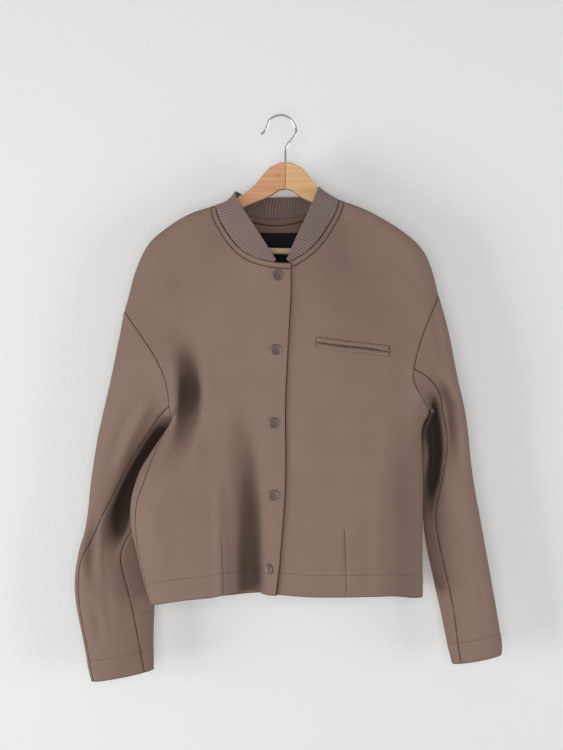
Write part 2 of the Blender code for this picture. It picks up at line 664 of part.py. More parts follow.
def sleeve_grids(rows, front_edge, back_edge):
    """The upper and under pieces of a sleeve, from the armhole to the cuff."""
    first = rows[0]
    fractions_front = armhole_fractions(first.front_seam)
    fractions_back = armhole_fractions(360 - first.back_seam)
    upper_grid, under_grid = [], []
    for row in rows:
        upper_angles, under_angles = sleeve_angles(first, row, fractions_front, fractions_back)
        for angles, grid in ((upper_angles, upper_grid), (under_angles, under_grid)):
            line = []
            for angle in angles:
                point = flat_ring_point(row, angle)
                if row.follow:
                    seam = armhole_point(front_edge, back_edge, fractions_front, fractions_back, angle)
                    point += (seam - flat_ring_point(first, angle)) * row.follow
                line.append(point)
            grid.append(line)
    return upper_grid, under_grid


# ---------------------------------------------------------------- walls


UNDERARMS = (
    front_point(RIGHT_ARMHOLE[-1].across, RIGHT_ARMHOLE[-1].drop),
    front_point(LEFT_ARMHOLE[-1].across, LEFT_ARMHOLE[-1].drop),
)


def spot_key(point):
    return tuple(round(value, 2) for value in point)


def grid_normals(grid, sign):
    """The outward normal at each point of one panel."""
    rows, columns = len(grid), len(grid[0])
    totals = [[Vector() for _ in line] for line in grid]
    for i in range(rows - 1):
        for j in range(columns - 1):
            diagonal = grid[i + 1][j + 1] - grid[i][j]
            normal = diagonal.cross(grid[i + 1][j] - grid[i][j + 1]).normalized() * sign
            for k, m in ((i, j), (i, j + 1), (i + 1, j), (i + 1, j + 1)):
                totals[k][m] += normal
    return [[total.normalized() for total in line] for line in totals]


def shared_normals(grids):
    """The outward normal at each point, halfway between those of the panels that meet there."""
    totals = {}
    for grid, sign in grids:
        for points, normals in zip(grid, grid_normals(grid, sign)):
            for point, normal in zip(points, normals):
                key = spot_key(point)
                totals[key] = totals.get(key, Vector()) + normal
    return {key: total.normalized() for key, total in totals.items()}


def inward(edge, inner, k, gap):
    """A point of an edge moved square to it, towards the row of points inside."""
    along = (edge[min(k + 1, len(edge) - 1)] - edge[max(k - 1, 0)]).normalized()
    across = inner[k] - edge[k]
    across -= along * across.dot(along)
    return across.normalized() * gap


def gap_at(point):
    """Half of the gap between panels, wider under the arms, where the most panels meet."""
    nearest = min((point - underarm).length for underarm in UNDERARMS)
    return SEAM_GAP / 2 + UNDERARM_GAP * smooth_step(1 - nearest / UNDERARM_REACH)


def drawn_in(grid):
    """The grid with its four edges moved in by the gap."""
    moved = [[point.copy() for point in line] for line in grid]
    sides = [[line[j] for line in grid] for j in (0, 1, -2, -1)]
    for j, point in enumerate(grid[0]):
        moved[0][j] += inward(grid[0], grid[1], j, gap_at(point))
    for j, point in enumerate(grid[-1]):
        moved[-1][j] += inward(grid[-1], grid[-2], j, gap_at(point))
    for i, point in enumerate(sides[0]):
        moved[i][0] += inward(sides[0], sides[1], i, gap_at(point))
    for i, point in enumerate(sides[3]):
        moved[i][-1] += inward(sides[3], sides[2], i, gap_at(point))
    return moved


def mesh_object(name, bm, material):
    bmesh.ops.recalc_face_normals(bm, faces=bm.faces)
    mesh = bpy.data.meshes.new(name)
    bm.to_mesh(mesh)
    bm.free()
    mesh.shade_smooth()
    mesh.materials.append(material)
    made = bpy.data.objects.new(name, mesh)
    PARTS.objects.link(made)
    return made


def wall_object(name, outer, inner, material, seams=None):
    """A closed wall between two grids of points in millimetres.

    Its rim is split by the seams' own points, so that two rims along one seam turn alike."""
    bm = bmesh.new()
    layers = []
    for grid in (outer, inner):
        layers.append([[bm.verts.new(point * MM) for point in line] for line in grid])
    rows, columns = len(outer), len(outer[0])
    for layer in layers:
        for i in range(rows - 1):
            for j in range(columns - 1):
                bm.faces.new((layer[i][j], layer[i][j + 1], layer[i + 1][j + 1], layer[i + 1][j]))
    around = [(0, j) for j in range(columns)]
    around += [(i, columns - 1) for i in range(1, rows)]
    around += [(rows - 1, j) for j in range(columns - 2, -1, -1)]
    around += [(i, 0) for i in range(rows - 2, 0, -1)]
    seams = seams or outer
    for (i, j), (k, m) in zip(around, around[1:] + around[:1]):
        corners = (layers[0][i][j], layers[0][k][m], layers[1][k][m], layers[1][i][j])
        if tuple(seams[i][j]) > tuple(seams[k][m]):
            halves = ((0, 1, 2), (0, 2, 3))
        else:
            halves = ((0, 1, 3), (1, 2, 3))
        for half in halves:
            bm.faces.new([corners[n] for n in half])
    return mesh_object(name, bm, material)


def cloth_wall(name, grid, normals, material, thickness=CLOTH_THICKNESS):
    middle = drawn_in(grid)
    half = thickness / 2
    outer, inner = [], []
    for line, original in zip(middle, grid):
        offsets = [normals[spot_key(point)] * half for point in original]
        outer.append([point + offset for point, offset in zip(line, offsets)])
        inner.append([point - offset for point, offset in zip(line, offsets)])
    return wall_object(name, outer, inner, material, grid)


# ---------------------------------------------------------------- collar


def neck_seam(front_right, front_left, back):
    """The seam under the collar, from its right front end round the back to its left front end."""
    ends = slice(SHOULDER_COLUMNS, SHOULDER_COLUMNS + COLLARED_COLUMNS + 1)
    behind = slice(SHOULDER_COLUMNS + 1, SHOULDER_COLUMNS + BACK_NECK_COLUMNS)
    return front_right[0][ends][::-1] + back[0][behind] + front_left[0][ends]


def collar_lines(seam):
    """Each column of the collar as its base point and its direction to the upper edge."""
    shares = length_shares(seam)
    top = Curve([Vector((p.across, p.depth, -p.drop)) for p in COLLAR_TOP])
    neck_points = (0, COLLARED_COLUMNS, COLLARED_COLUMNS + BACK_NECK_COLUMNS, len(seam) - 1)
    below = [shares[k] for k in neck_points]
    above = [top.lengths[k * Curve.SAMPLES_PER_SPAN] / top.length for k in COLLAR_TOP_CORNERS]
    match = Track(below, [above])
    lines = []
    columns = 2 * RIB_COUNT
    for c in range(columns + 1):
        base = along_edge(seam, shares, c / columns)
        rise = Vector(top.at(match.at(c / columns)[0])) - base
        if rise.length < COLLAR_END_HEIGHT:
            rise = rise.normalized() * COLLAR_END_HEIGHT
        lines.append((base, rise))
    return lines


def collar_mitres(seam, lines, normals):
    """The direction in which the collar and the body are cut at each corner of the neck seam."""
    columns = len(lines) - 1
    found = []
    for i, (point, share) in enumerate(zip(seam, length_shares(seam))):
        c = round(columns * share)
        before, after = seam[max(0, i - 1)], seam[min(len(seam) - 1, i + 1)]
        own = lines[c][1].cross(after - before).normalized()
        body = normals[spot_key(point)]
        if own.dot(body) < 0:
            own = -own
        found.append((own + body).normalized())
    return found


def collar_wall(seam, lines, mitres, material):
    columns = len(lines) - 1
    shares = length_shares(seam)
    outer = [[] for _ in range(COLLAR_ROWS + 1)]
    inner = [[] for _ in range(COLLAR_ROWS + 1)]
    for c, (base, rise) in enumerate(lines):
        mitre = along_edge(mitres, shares, c / columns).normalized()
        before = lines[max(0, c - COLLAR_REACH)][0]
        after = lines[min(columns, c + COLLAR_REACH)][0]
        own = rise.cross(after - before).normalized()
        if own.dot(mitre) < 0:
            own = -own
        raised = RIB_HEIGHT if c % 2 else 0.0
        for r in range(COLLAR_ROWS + 1):
            f = r / COLLAR_ROWS
            middle = base + rise * f
            normal = mitre if r == 0 else own
            if r == 0:
                middle = middle + rise.normalized() * COLLAR_GAP
            outer[r].append(middle + normal * (CLOTH_THICKNESS / 2 + (raised if r else raised / 2)))
            inner[r].append(middle - normal * (COLLAR_THICKNESS - CLOTH_THICKNESS / 2))
    return wall_object("collar", outer, inner, material)


# ---------------------------------------------------------------- what lies on the panels


def snap_object(name, spot, material):
    """A snap's cap: a turned disc with a raised rim, set on the right front's outer face."""
    mesh = bpy.data.meshes.new(name)
    points = [(corner.radius * MM, 0, corner.height * MM) for corner in SNAP_SECTION]
    mesh.from_pydata(points, [(i, i + 1) for i in range(len(points) - 1)], [])
    mesh.materials.append(material)
    snap = bpy.data.objects.new(name, mesh)
    PARTS.objects.link(snap)
    screw = snap.modifiers.new("turned", "SCREW")
    screw.steps = SNAP_STEPS
    screw.render_steps = SNAP_STEPS
    screw.use_merge_vertices = True
    screw.merge_threshold = 0.00001
    normal = facing(front_point, spot.across, spot.drop)
    centre = front_point(spot.across, spot.drop)
    lift = CLOTH_THICKNESS / 2 + SEAM_GAP + highest_above(centre, normal, spot)
    snap.location = (centre + normal * lift) * MM
    snap.rotation_euler = normal.to_track_quat("Z", "Y").to_euler()
    return snap


def highest_above(centre, normal, spot):
    """How far the cloth around a snap rises above the plane of its middle."""
    highest = 0.0
    for i in range(SNAP_STEPS):
        turn = 2 * math.pi * i / SNAP_STEPS
        near = front_point(
            spot.across + SNAP_RADIUS * math.cos(turn), spot.drop + SNAP_RADIUS * math.sin(turn)
        )
        highest = max(highest, (near - centre).dot(normal))
    return highest


def welt_object(name, offset, material):
    """A strip along the pocket's opening, lying on the left front."""
    path = Curve(POCKET)
    outer, inner = [], []
    for edge in (offset - WELT_HEIGHT / 2, offset + WELT_HEIGHT / 2):
        outer_line, inner_line = [], []
        for i in range(WELT_COLUMNS + 1):
            across, drop = path.at(i / WELT_COLUMNS)
            drop += edge
            normal = facing(under_lap_point, across, drop)
            if normal.y > 0:
                normal = -normal
            point = under_lap_point(across, drop)
            low = CLOTH_THICKNESS / 2 + 2 * SEAM_GAP
            inner_line.append(point + normal * low)
            outer_line.append(point + normal * (low + WELT_THICKNESS))
        outer.append(outer_line)
        inner.append(inner_line)
    return wall_object(name, outer, inner, material)


def label_object(material):
    """A blank woven label that hangs inside the back, below the neck seam."""
    outer, inner = [], []
    for i in range(LABEL_ROWS + 1):
        drop = LABEL_TOP + (LABEL_BOTTOM - LABEL_TOP) * i / LABEL_ROWS
        outer_line, inner_line = [], []
        for j in range(LABEL_COLUMNS + 1):
            across = LABEL_RIGHT + (LABEL_LEFT - LABEL_RIGHT) * j / LABEL_COLUMNS
            behind = back_point(across, drop)
            near = CLOTH_THICKNESS / 2 + LABEL_CLEARANCE
            inner_line.append(behind + Vector((0, -near, 0)))
            outer_line.append(behind + Vector((0, -near - LABEL_THICKNESS, 0)))
        outer.append(outer_line)
        inner.append(inner_line)
    return wall_object("neck_label", outer, inner, material)


# ---------------------------------------------------------------- hanger


def hook_object(material):
    path = Curve(HOOK_WIRE)
    curve = bpy.data.curves.new("hanger_hook", "CURVE")
    curve.dimensions = "3D"
    spline = curve.splines.new("POLY")
    spline.points.add(HOOK_SAMPLES - 1)
    for i, point in enumerate(spline.points):
        across, drop = path.at(i / (HOOK_SAMPLES - 1))
        point.co = (across * MM, 0, -drop * MM, 1)
    curve.bevel_depth = WIRE_DIAMETER / 2 * MM
    curve.bevel_resolution = 2
    curve.use_fill_caps = True
    curve.materials.append(material)
    hook = bpy.data.objects.new("hanger_hook", curve)
    PARTS.objects.link(hook)
    return hook


def hanger_frame():
    """An empty at the hanger's joint, tilted as the hanger hangs."""
    frame = bpy.data.objects.new("hanger_frame", None)
    frame.location = (HANGER_CENTRE * MM, 0, -HANGER_PIVOT_DROP * MM)
    frame.rotation_euler = (0, math.radians(HANGER_TILT), 0)
    PARTS.objects.link(frame)
    return frame


def arm_object(name, side, frame, material):
    """Half of the hanger's wood: a flat outline with softened edges. Side is -1 or 1."""
    curve = bpy.data.curves.new(name, "CURVE")
    curve.dimensions = "2D"
    curve.fill_mode = "BOTH"
    spline = curve.splines.new("POLY")
    outline = HANGER_OUTLINE if side > 0 else tuple(reversed(HANGER_OUTLINE))
    spline.points.add(len(outline) - 1)
    for point, spot in zip(spline.points, outline):
        point.co = (side * spot.across * MM, (HANGER_PIVOT_DROP - spot.drop) * MM, 0, 1)
    spline.use_cyclic_u = True
    curve.extrude = (HANGER_THICKNESS / 2 - HANGER_EDGE) * MM
    curve.bevel_depth = HANGER_EDGE * MM
    curve.bevel_resolution = 1
    curve.offset = -HANGER_EDGE * MM
    curve.materials.append(material)
    arm = bpy.data.objects.new(name, curve)
    arm.rotation_euler = (math.pi / 2, 0, 0)
    arm.parent = frame
    PARTS.objects.link(arm)
    return arm


def bar_object(frame, material):
    """The rod between the hanger's ends."""
    bm = bmesh.new()
    bmesh.ops.create_cone(
        bm,
        cap_ends=True,
        segments=BAR_SIDES,
        radius1=BAR_DIAMETER / 2 * MM,
        radius2=BAR_DIAMETER / 2 * MM,
        depth=2 * BAR_HALF_LENGTH * MM,
    )
    bar = mesh_object("hanger_bar", bm, material)
    bar.data.set_sharp_from_angle(angle=math.radians(BAR_SHARP_ANGLE))
    bar.location = (0, 0, (HANGER_PIVOT_DROP - BAR_DROP) * MM)
    bar.rotation_euler = (0, math.pi / 2, 0)
    bar.parent = frame
    return bar


# ---------------------------------------------------------------- materials and assembly


def material(name, colour, roughness, metallic=0.0):
    made = bpy.data.materials.new(name)
    made.use_nodes = True
    shader = made.node_tree.nodes["Principled BSDF"]
    shader.inputs["Base Color"].default_value = (*colour, 1)
    shader.inputs["Roughness"].default_value = roughness
    shader.inputs["Metallic"].default_value = metallic
    made.diffuse_color = (*colour, 1)
    return made


def clear_scene():
    for existing in list(bpy.data.objects):
        bpy.data.objects.remove(existing, do_unlink=True)


clear_scene()
PARTS = bpy.data.collections.new("sweat_jacket")
bpy.context.scene.collection.children.link(PARTS)


def build_jacket():
    cloth = material("taupe_knit", (0.23, 0.165, 0.135), 0.8)
    rib = material("taupe_rib", (0.2, 0.14, 0.13), 0.9)
    metal = material("snap_metal", (0.3, 0.26, 0.23), 0.4, 0.9)
    woven = material("label_black", (0.01, 0.012, 0.02), 0.8)

    front_right = right_front_grid()
    front_left = left_front_grid()
    back = back_grid()
    seam_rows = UPPER_ARMHOLE_ROWS + LOWER_ARMHOLE_ROWS + 1
    right_front_edge = [line[0] for line in front_right[:seam_rows]]
    left_front_edge = [line[0] for line in front_left[:seam_rows]]
    right_back_edge = [line[0] for line in back[:seam_rows]]
    left_back_edge = [line[-1] for line in back[:seam_rows]]
    right_upper, right_under = sleeve_grids(RIGHT_SLEEVE, right_front_edge, right_back_edge)
    left_upper, left_under = sleeve_grids(LEFT_SLEEVE, left_front_edge, left_back_edge)

    panels = (
        ("front_right", front_right, -1),
        ("front_left", front_left, 1),
        ("back", back, 1),
        ("sleeve_right_upper", right_upper, -1),
        ("sleeve_right_under", right_under, -1),
        ("sleeve_left_upper", left_upper, 1),
        ("sleeve_left_under", left_under, 1),
    )
    normals = shared_normals([(grid, sign) for _, grid, sign in panels])
    seam = neck_seam(front_right, front_left, back)
    lines = collar_lines(seam)
    mitres = collar_mitres(seam, lines, normals)
    for point, mitre in zip(seam, mitres):
        normals[spot_key(point)] = mitre
    for name, grid, _ in panels:
        cloth_wall(name, grid, normals, cloth)
    collar_wall(seam, lines, mitres, rib)

    for i, spot in enumerate(SNAPS):
        snap_object(f"snap_{i + 1}", spot, metal)
    middle = (WELT_HEIGHT + WELT_GAP) / 2
    welt_object("pocket_welt_upper", -middle, cloth)
    welt_object("pocket_welt_lower", middle, cloth)
    label_object(woven)


def build_hanger():
    wood_warm = material("wood_warm", (0.62, 0.34, 0.19), 0.45)
    wood_pale = material("wood_pale", (0.7, 0.47, 0.24), 0.45)
    chrome = material("chrome", (0.75, 0.75, 0.76), 0.12, 1.0)
    frame = hanger_frame()
    arm_object("hanger_arm_right", -1, frame, wood_warm)
    arm_object("hanger_arm_left", 1, frame, wood_pale)
    bar_object(frame, wood_pale)
    hook_object(chrome)


build_jacket()
build_hanger()
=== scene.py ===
import math

import bmesh
import bpy
import numpy as np
from mathutils import Matrix, Vector
from mathutils.bvhtree import BVHTree
from mathutils.kdtree import KDTree


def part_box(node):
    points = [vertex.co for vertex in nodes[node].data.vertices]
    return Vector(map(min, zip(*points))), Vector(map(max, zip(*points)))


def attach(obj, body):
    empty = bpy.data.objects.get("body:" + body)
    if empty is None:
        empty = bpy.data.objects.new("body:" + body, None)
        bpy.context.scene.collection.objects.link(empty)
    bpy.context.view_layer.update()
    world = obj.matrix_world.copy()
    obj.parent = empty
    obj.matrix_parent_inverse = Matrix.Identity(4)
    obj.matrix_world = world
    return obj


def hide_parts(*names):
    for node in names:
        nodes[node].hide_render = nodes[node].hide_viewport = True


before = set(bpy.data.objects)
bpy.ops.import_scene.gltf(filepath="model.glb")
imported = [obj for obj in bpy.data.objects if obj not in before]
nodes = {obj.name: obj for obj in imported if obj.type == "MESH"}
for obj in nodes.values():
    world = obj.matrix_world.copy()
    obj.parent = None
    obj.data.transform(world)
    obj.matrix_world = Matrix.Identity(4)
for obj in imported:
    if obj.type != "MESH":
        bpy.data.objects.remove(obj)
scene = bpy.context.scene
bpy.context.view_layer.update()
millimetre = 0.001
print("frame loaded")

# the photo's camera: its place, and the picture's longer side and centre in pixels
camera = dict(place=(-0.0003, -1.75, -0.414), lens=52.5, sensor=36, longSide=750, centre=(281.5, 375))
room = dict(
    wallDepth=0.075, wallHalf=6.0, floorHeight=-1.6, wallColour=(0.78, 0.78, 0.775), plasterScale=170.0,
    plasterStrength=0.5, plasterDepth=0.0014, skyColour=(0.96, 0.98, 1, 1), skyStrength=0.3,
    lightAim=(0, 0, -0.45),
)
# softboxes: the side they stand on and how high, in degrees from the camera, how far off, size and strength
lights = {
    "leftSoftbox": dict(turn=-62, rise=-10, far=3.3, size=1.6, watts=60, shine=True, colour=(1, 0.99, 0.975)),
    "rightSoftbox": dict(turn=60, rise=-6, far=3.4, size=1.7, watts=33, shine=True, colour=(0.98, 0.99, 1)),
    "frontSoftbox": dict(turn=-3, rise=-2, far=3.0, size=1.6, watts=38, shine=False, colour=(1, 1, 1)),
    "backSoftbox": dict(turn=165, rise=-4, far=3.0, size=2.2, watts=60, shine=True, colour=(1, 1, 1)),
}


def addObject(name, data):
    made = bpy.data.objects.new(name, data)
    scene.collection.objects.link(made)
    return made


def newObject(name, bm, materials):
    mesh = bpy.data.meshes.new(name)
    bm.to_mesh(mesh)
    bm.free()
    for material in materials:
        mesh.materials.append(material)
    return addObject(name, mesh)


def mount(made, slotName, *cadNodes):
    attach(made, "root")
    if cadNodes:
        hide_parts(*cadNodes)
    return made


def makeCamera():
    data = bpy.data.cameras.new("photoCamera")
    data.lens = camera["lens"]
    data.sensor_width = camera["sensor"]
    made = addObject("photoCamera", data)
    made.location = camera["place"]
    made.rotation_euler = (math.pi / 2, 0, 0)
    scene.camera = made


def makeLights():
    for name, values in lights.items():
        data = bpy.data.lights.new(name, "AREA")
        data.size = values["size"]
        data.energy = values["watts"]
        data.color = values["colour"]
        made = addObject(name, data)
        turn, rise = math.radians(values["turn"]), math.radians(values["rise"])
        away = Vector((math.sin(turn) * math.cos(rise), -math.cos(turn) * math.cos(rise), math.sin(rise)))
        made.location = Vector(room["lightAim"]) + away * values["far"]
        made.visible_glossy = values["shine"]
        made.rotation_euler = away.to_track_quat("Z", "Y").to_euler()
    world = bpy.data.worlds.new("paleRoom")
    world.use_nodes = True
    sky = world.node_tree.nodes["Background"]
    sky.inputs["Color"].default_value = room["skyColour"]
    sky.inputs["Strength"].default_value = room["skyStrength"]
    scene.world = world


def setSockets(tree, node, values):
    # gives each input a value, or a link where the value is another node's output
    for name, value in values.items():
        if isinstance(value, bpy.types.NodeSocket):
            tree.links.new(value, node.inputs[name])
        else:
            node.inputs[name].default_value = value
    return node


def newNode(tree, kind, **values):
    return setSockets(tree, tree.nodes.new(kind), values)


def newMaterial(name):
    made = bpy.data.materials.new(name)
    made.use_nodes = True
    return made, made.node_tree, made.node_tree.nodes["Principled BSDF"]


def mathNode(tree, operation, *values):
    node = tree.nodes.new("ShaderNodeMath")
    node.operation = operation
    return setSockets(tree, node, dict(enumerate(values))).outputs[0]


def mixColour(tree, factor, a, b, blend="MIX"):
    node = tree.nodes.new("ShaderNodeMix")
    node.data_type = "RGBA"
    node.blend_type = blend
    return setSockets(tree, node, {0: factor, 6: a, 7: b}).outputs[2]


def noiseNode(tree, vector, scale, detail=2.0):
    return newNode(tree, "ShaderNodeTexNoise", Vector=vector, Scale=scale, Detail=detail).outputs["Fac"]


def bumpNode(tree, height, strength, distance, **values):
    bump = newNode(tree, "ShaderNodeBump", Height=height, Strength=strength, Distance=distance, **values)
    return bump.outputs["Normal"]


def objectSpot(tree):
    return tree.nodes.new("ShaderNodeTexCoord").outputs["Object"]


def attributeNode(tree, name):
    node = tree.nodes.new("ShaderNodeAttribute")
    node.attribute_name = name
    return node.outputs["Fac"]


def wallMaterial():
    # clear from behind, and to shadow and diffuse rays, so that it doesn't darken the back
    made, tree, _ = newMaterial("paleWall")
    tree.nodes.clear()
    grain = noiseNode(tree, objectSpot(tree), room["plasterScale"], 4)
    plaster = bumpNode(tree, grain, room["plasterStrength"], room["plasterDepth"])
    paint = newNode(tree, "ShaderNodeBsdfDiffuse", Color=(*room["wallColour"], 1), Normal=plaster)
    clear = tree.nodes.new("ShaderNodeBsdfTransparent")
    rays = tree.nodes.new("ShaderNodeLightPath")
    side = tree.nodes.new("ShaderNodeNewGeometry")
    indirect = mathNode(tree, "MAXIMUM", rays.outputs["Is Shadow Ray"], rays.outputs["Is Diffuse Ray"])
    unseen = mathNode(tree, "MAXIMUM", indirect, side.outputs["Backfacing"])
    mix = tree.nodes.new("ShaderNodeMixShader")
    setSockets(tree, mix, {0: unseen, 1: paint.outputs[0], 2: clear.outputs[0]})
    newNode(tree, "ShaderNodeOutputMaterial", Surface=mix.outputs[0])
    return made


def makeRoom():
    paint = wallMaterial()
    for name, turn, place in (
        ("wall", Matrix.Rotation(math.pi / 2, 4, "X"), (0, room["wallDepth"], 0)),
        ("floor", Matrix.Identity(4), (0, 0, room["floorHeight"])),
    ):
        bm = bmesh.new()
        bmesh.ops.create_grid(bm, x_segments=1, y_segments=1, size=room["wallHalf"])
        bm.transform(Matrix.Translation(place) @ turn)
        newObject(name, bm, [paint])


scene.view_settings.view_transform = "Standard"
makeCamera()
makeLights()
makeRoom()
print("camera, lights and room made")

# the knit: how far its yarn leans, how high its courses stand, and the scales and shares of its mottle
knit = dict(lean=0.35, course=0.22, cloudScale=22.0, cloudShare=0.6, fibreScale=900.0, fibreShare=0.4)


# shader groups: each gives only colours, masks and heights
def newGroup(name, inputs, outputs):
    group = bpy.data.node_groups.new(name, "ShaderNodeTree")
    for socket, kind, value in inputs:
        made = group.interface.new_socket(name=socket, in_out="INPUT", socket_type="NodeSocket" + kind)
        made.default_value = value
    for socket, kind in outputs:
        group.interface.new_socket(name=socket, in_out="OUTPUT", socket_type="NodeSocket" + kind)
    return group, group.nodes.new("NodeGroupInput").outputs, group.nodes.new("NodeGroupOutput")


def knitGroup():
    # fine wales and courses from the cloth's own metric UV, with a soft mottle
    group, given, end = newGroup(
        "fineKnit",
        [("Colour", "Color", (0.2, 0.2, 0.2, 1)), ("Wale", "Float", 900.0), ("Course", "Float", 1100.0),
         ("Mottle", "Float", 0.1)],
        [("Colour", "Color"), ("Height", "Float")],
    )
    place = newNode(group, "ShaderNodeSeparateXYZ", Vector=group.nodes.new("ShaderNodeUVMap").outputs["UV"])
    across = mathNode(group, "MULTIPLY", place.outputs["X"], given["Wale"])
    down = mathNode(group, "MULTIPLY", place.outputs["Y"], given["Course"])
    loop = mathNode(group, "ABSOLUTE", mathNode(group, "SINE", mathNode(group, "MULTIPLY", across, math.pi)))
    lean = mathNode(group, "ADD", down, mathNode(group, "MULTIPLY", loop, knit["lean"]))
    stitch = mathNode(group, "SINE", mathNode(group, "MULTIPLY", lean, 2 * math.pi))
    height = mathNode(group, "MULTIPLY_ADD", stitch, knit["course"], loop)
    cloud = noiseNode(group, objectSpot(group), knit["cloudScale"], 3.0)
    fibre = noiseNode(group, objectSpot(group), knit["fibreScale"])
    clouds = mathNode(group, "MULTIPLY", cloud, knit["cloudShare"])
    both = mathNode(group, "MULTIPLY_ADD", fibre, knit["fibreShare"], clouds)
    shade = mathNode(group, "SUBTRACT", both, 0.5)
    gain = mathNode(group, "MULTIPLY_ADD", shade, given["Mottle"], 1.0)
    grey = newNode(group, "ShaderNodeCombineColor", Red=gain, Green=gain, Blue=gain)
    mottled = mixColour(group, 1.0, given["Colour"], grey.outputs[0], "MULTIPLY")
    setSockets(group, end, dict(Colour=mottled, Height=height))
    return group


def seamGroup():
    # a line at a distance from an edge, for stitching and painted shade: a soft mask, and a groove of the
    # same form
    group, given, end = newGroup(
        "stitchShadeLine", [("Distance", "Float", 1.0), ("Offset", "Float", 0.0), ("Width", "Float", 0.001)],
        [("Mask", "Float"), ("Height", "Float")],
    )
    away = mathNode(group, "ABSOLUTE", mathNode(group, "SUBTRACT", given["Distance"], given["Offset"]))
    share = group.nodes.new("ShaderNodeMapRange")
    share.interpolation_type = "SMOOTHSTEP"
    setSockets(group, share, {"Value": away, "From Max": given["Width"], "To Min": 1, "To Max": 0})
    mask = share.outputs["Result"]
    setSockets(group, end, dict(Mask=mask, Height=mathNode(group, "MULTIPLY", mask, -1.0)))
    return group


fineKnit = knitGroup()
stitchShadeLine = seamGroup()

# the cloth: its own colour; the colour that its lines and hollows are darkened towards, as stitching and as
# painted shade; and the share of painted shade in its folds and hollows (hollow)
clothLook = dict(
    colour=(0.23, 0.151, 0.119), stitchShadeColour=(0.03, 0.018, 0.014), roughness=0.82, sheen=0.06, wale=620.0,
    course=560.0, mottle=0.26, knitBump=0.5, lineBump=1.0, hollow=0.92,
    # lines darkened in colour: the stitching along seams, neck, hem and darts, with painted shade in their
    # grooves, and painted shadow along the placket's edge, in the pocket's mouth and round the welts:
    # attribute, offset and half-width in metres, darkness
    lines=(
        ("seamDistance", 0.0, 0.0016, 0.9), ("neckDistance", 0.0, 0.0022, 0.9),
        ("neckDistance", 0.0088, 0.0015, 0.85), ("neckDistance", 0.0068, 0.0005, 0.2),
        ("hemDistance", 0.034, 0.0009, 0.3), ("hemDistance", 0.0, 0.0022, 0.55),
        ("dartDistance", 0.0, 0.0011, 0.8), ("placketDistance", 0.0, 0.0016, 0.95),
        ("pocketDistance", 0.0, 0.0022, 0.95), ("weltDistance", 0.0, 0.0016, 0.95),
    ),
)
# what every cloth shares
yarn = dict(sheenRoughness=0.5, specular=0.3, knitDepth=0.0003, lineDepth=0.0008)


def groupNode(tree, group, **values):
    node = tree.nodes.new("ShaderNodeGroup")
    node.node_tree = group
    return setSockets(tree, node, values)


def clothMaterial(name, look):
    made, tree, shader = newMaterial(name)
    stitchShadeColour = (*look["stitchShadeColour"], 1)
    knitted = groupNode(
        tree, fineKnit, Colour=(*look["colour"], 1), Wale=look["wale"], Course=look["course"],
        Mottle=look["mottle"],
    ).outputs
    colour = knitted["Colour"]
    height = None
    # each line darkens the colour, as stitching and as painted shade in its groove or gap
    for attribute, offset, width, darkness in look["lines"]:
        distance = attributeNode(tree, attribute)
        line = groupNode(tree, stitchShadeLine, Distance=distance, Offset=offset, Width=width).outputs
        colour = mixColour(tree, mathNode(tree, "MULTIPLY", line["Mask"], darkness), colour, stitchShadeColour)
        deeper = mathNode(tree, "MULTIPLY", line["Height"], darkness)
        height = deeper if height is None else mathNode(tree, "MINIMUM", height, deeper)
    if look["hollow"]:
        # painted shade: the folds and hollows are darkened in colour beyond what the light makes of them
        darkened = mathNode(tree, "MULTIPLY", attributeNode(tree, "paintedFoldShade"), look["hollow"])
        colour = mixColour(tree, darkened, colour, stitchShadeColour)
    normal = bumpNode(tree, knitted["Height"], look["knitBump"], yarn["knitDepth"])
    if height is not None:
        normal = bumpNode(tree, height, look["lineBump"], yarn["lineDepth"], Normal=normal)
    setSockets(tree, shader, {
        "Base Color": colour, "Roughness": look["roughness"], "Sheen Weight": look["sheen"],
        "Sheen Roughness": yarn["sheenRoughness"], "Specular IOR Level": yarn["specular"], "Normal": normal,
    })
    return made


taupeKnit = clothMaterial("taupeKnit", clothLook)
plainKnit = clothMaterial("plainKnit", dict(clothLook, lines=(), hollow=0))
print("cloth material made")


# reading the solids' outer skins as grids of points
# the solids' wall thicknesses in metres, how far an edge may be off one, how opposed the normals at its ends
# have to be, and the reach within which vertices are merged
wallThickness = {"collar": (0.0026, 0.00305, 0.0035), "neck_label": (0.0008,)}
skinRead = dict(welt=(0.0016,), cloth=(0.002,), slip=2e-6, turn=-0.08, merge=1e-6)


def isCrossEdge(edge, thicknesses):
    # an edge through the wall is as long as the wall is thick, and leaves the skin at both ends
    length = edge.calc_length()
    if min(abs(length - thickness) for thickness in thicknesses) > skinRead["slip"]:
        return False
    if len(thicknesses) == 1:
        return True
    a, b = edge.verts
    along = (b.co - a.co) / length
    return a.normal.dot(along) * b.normal.dot(along) < skinRead["turn"]


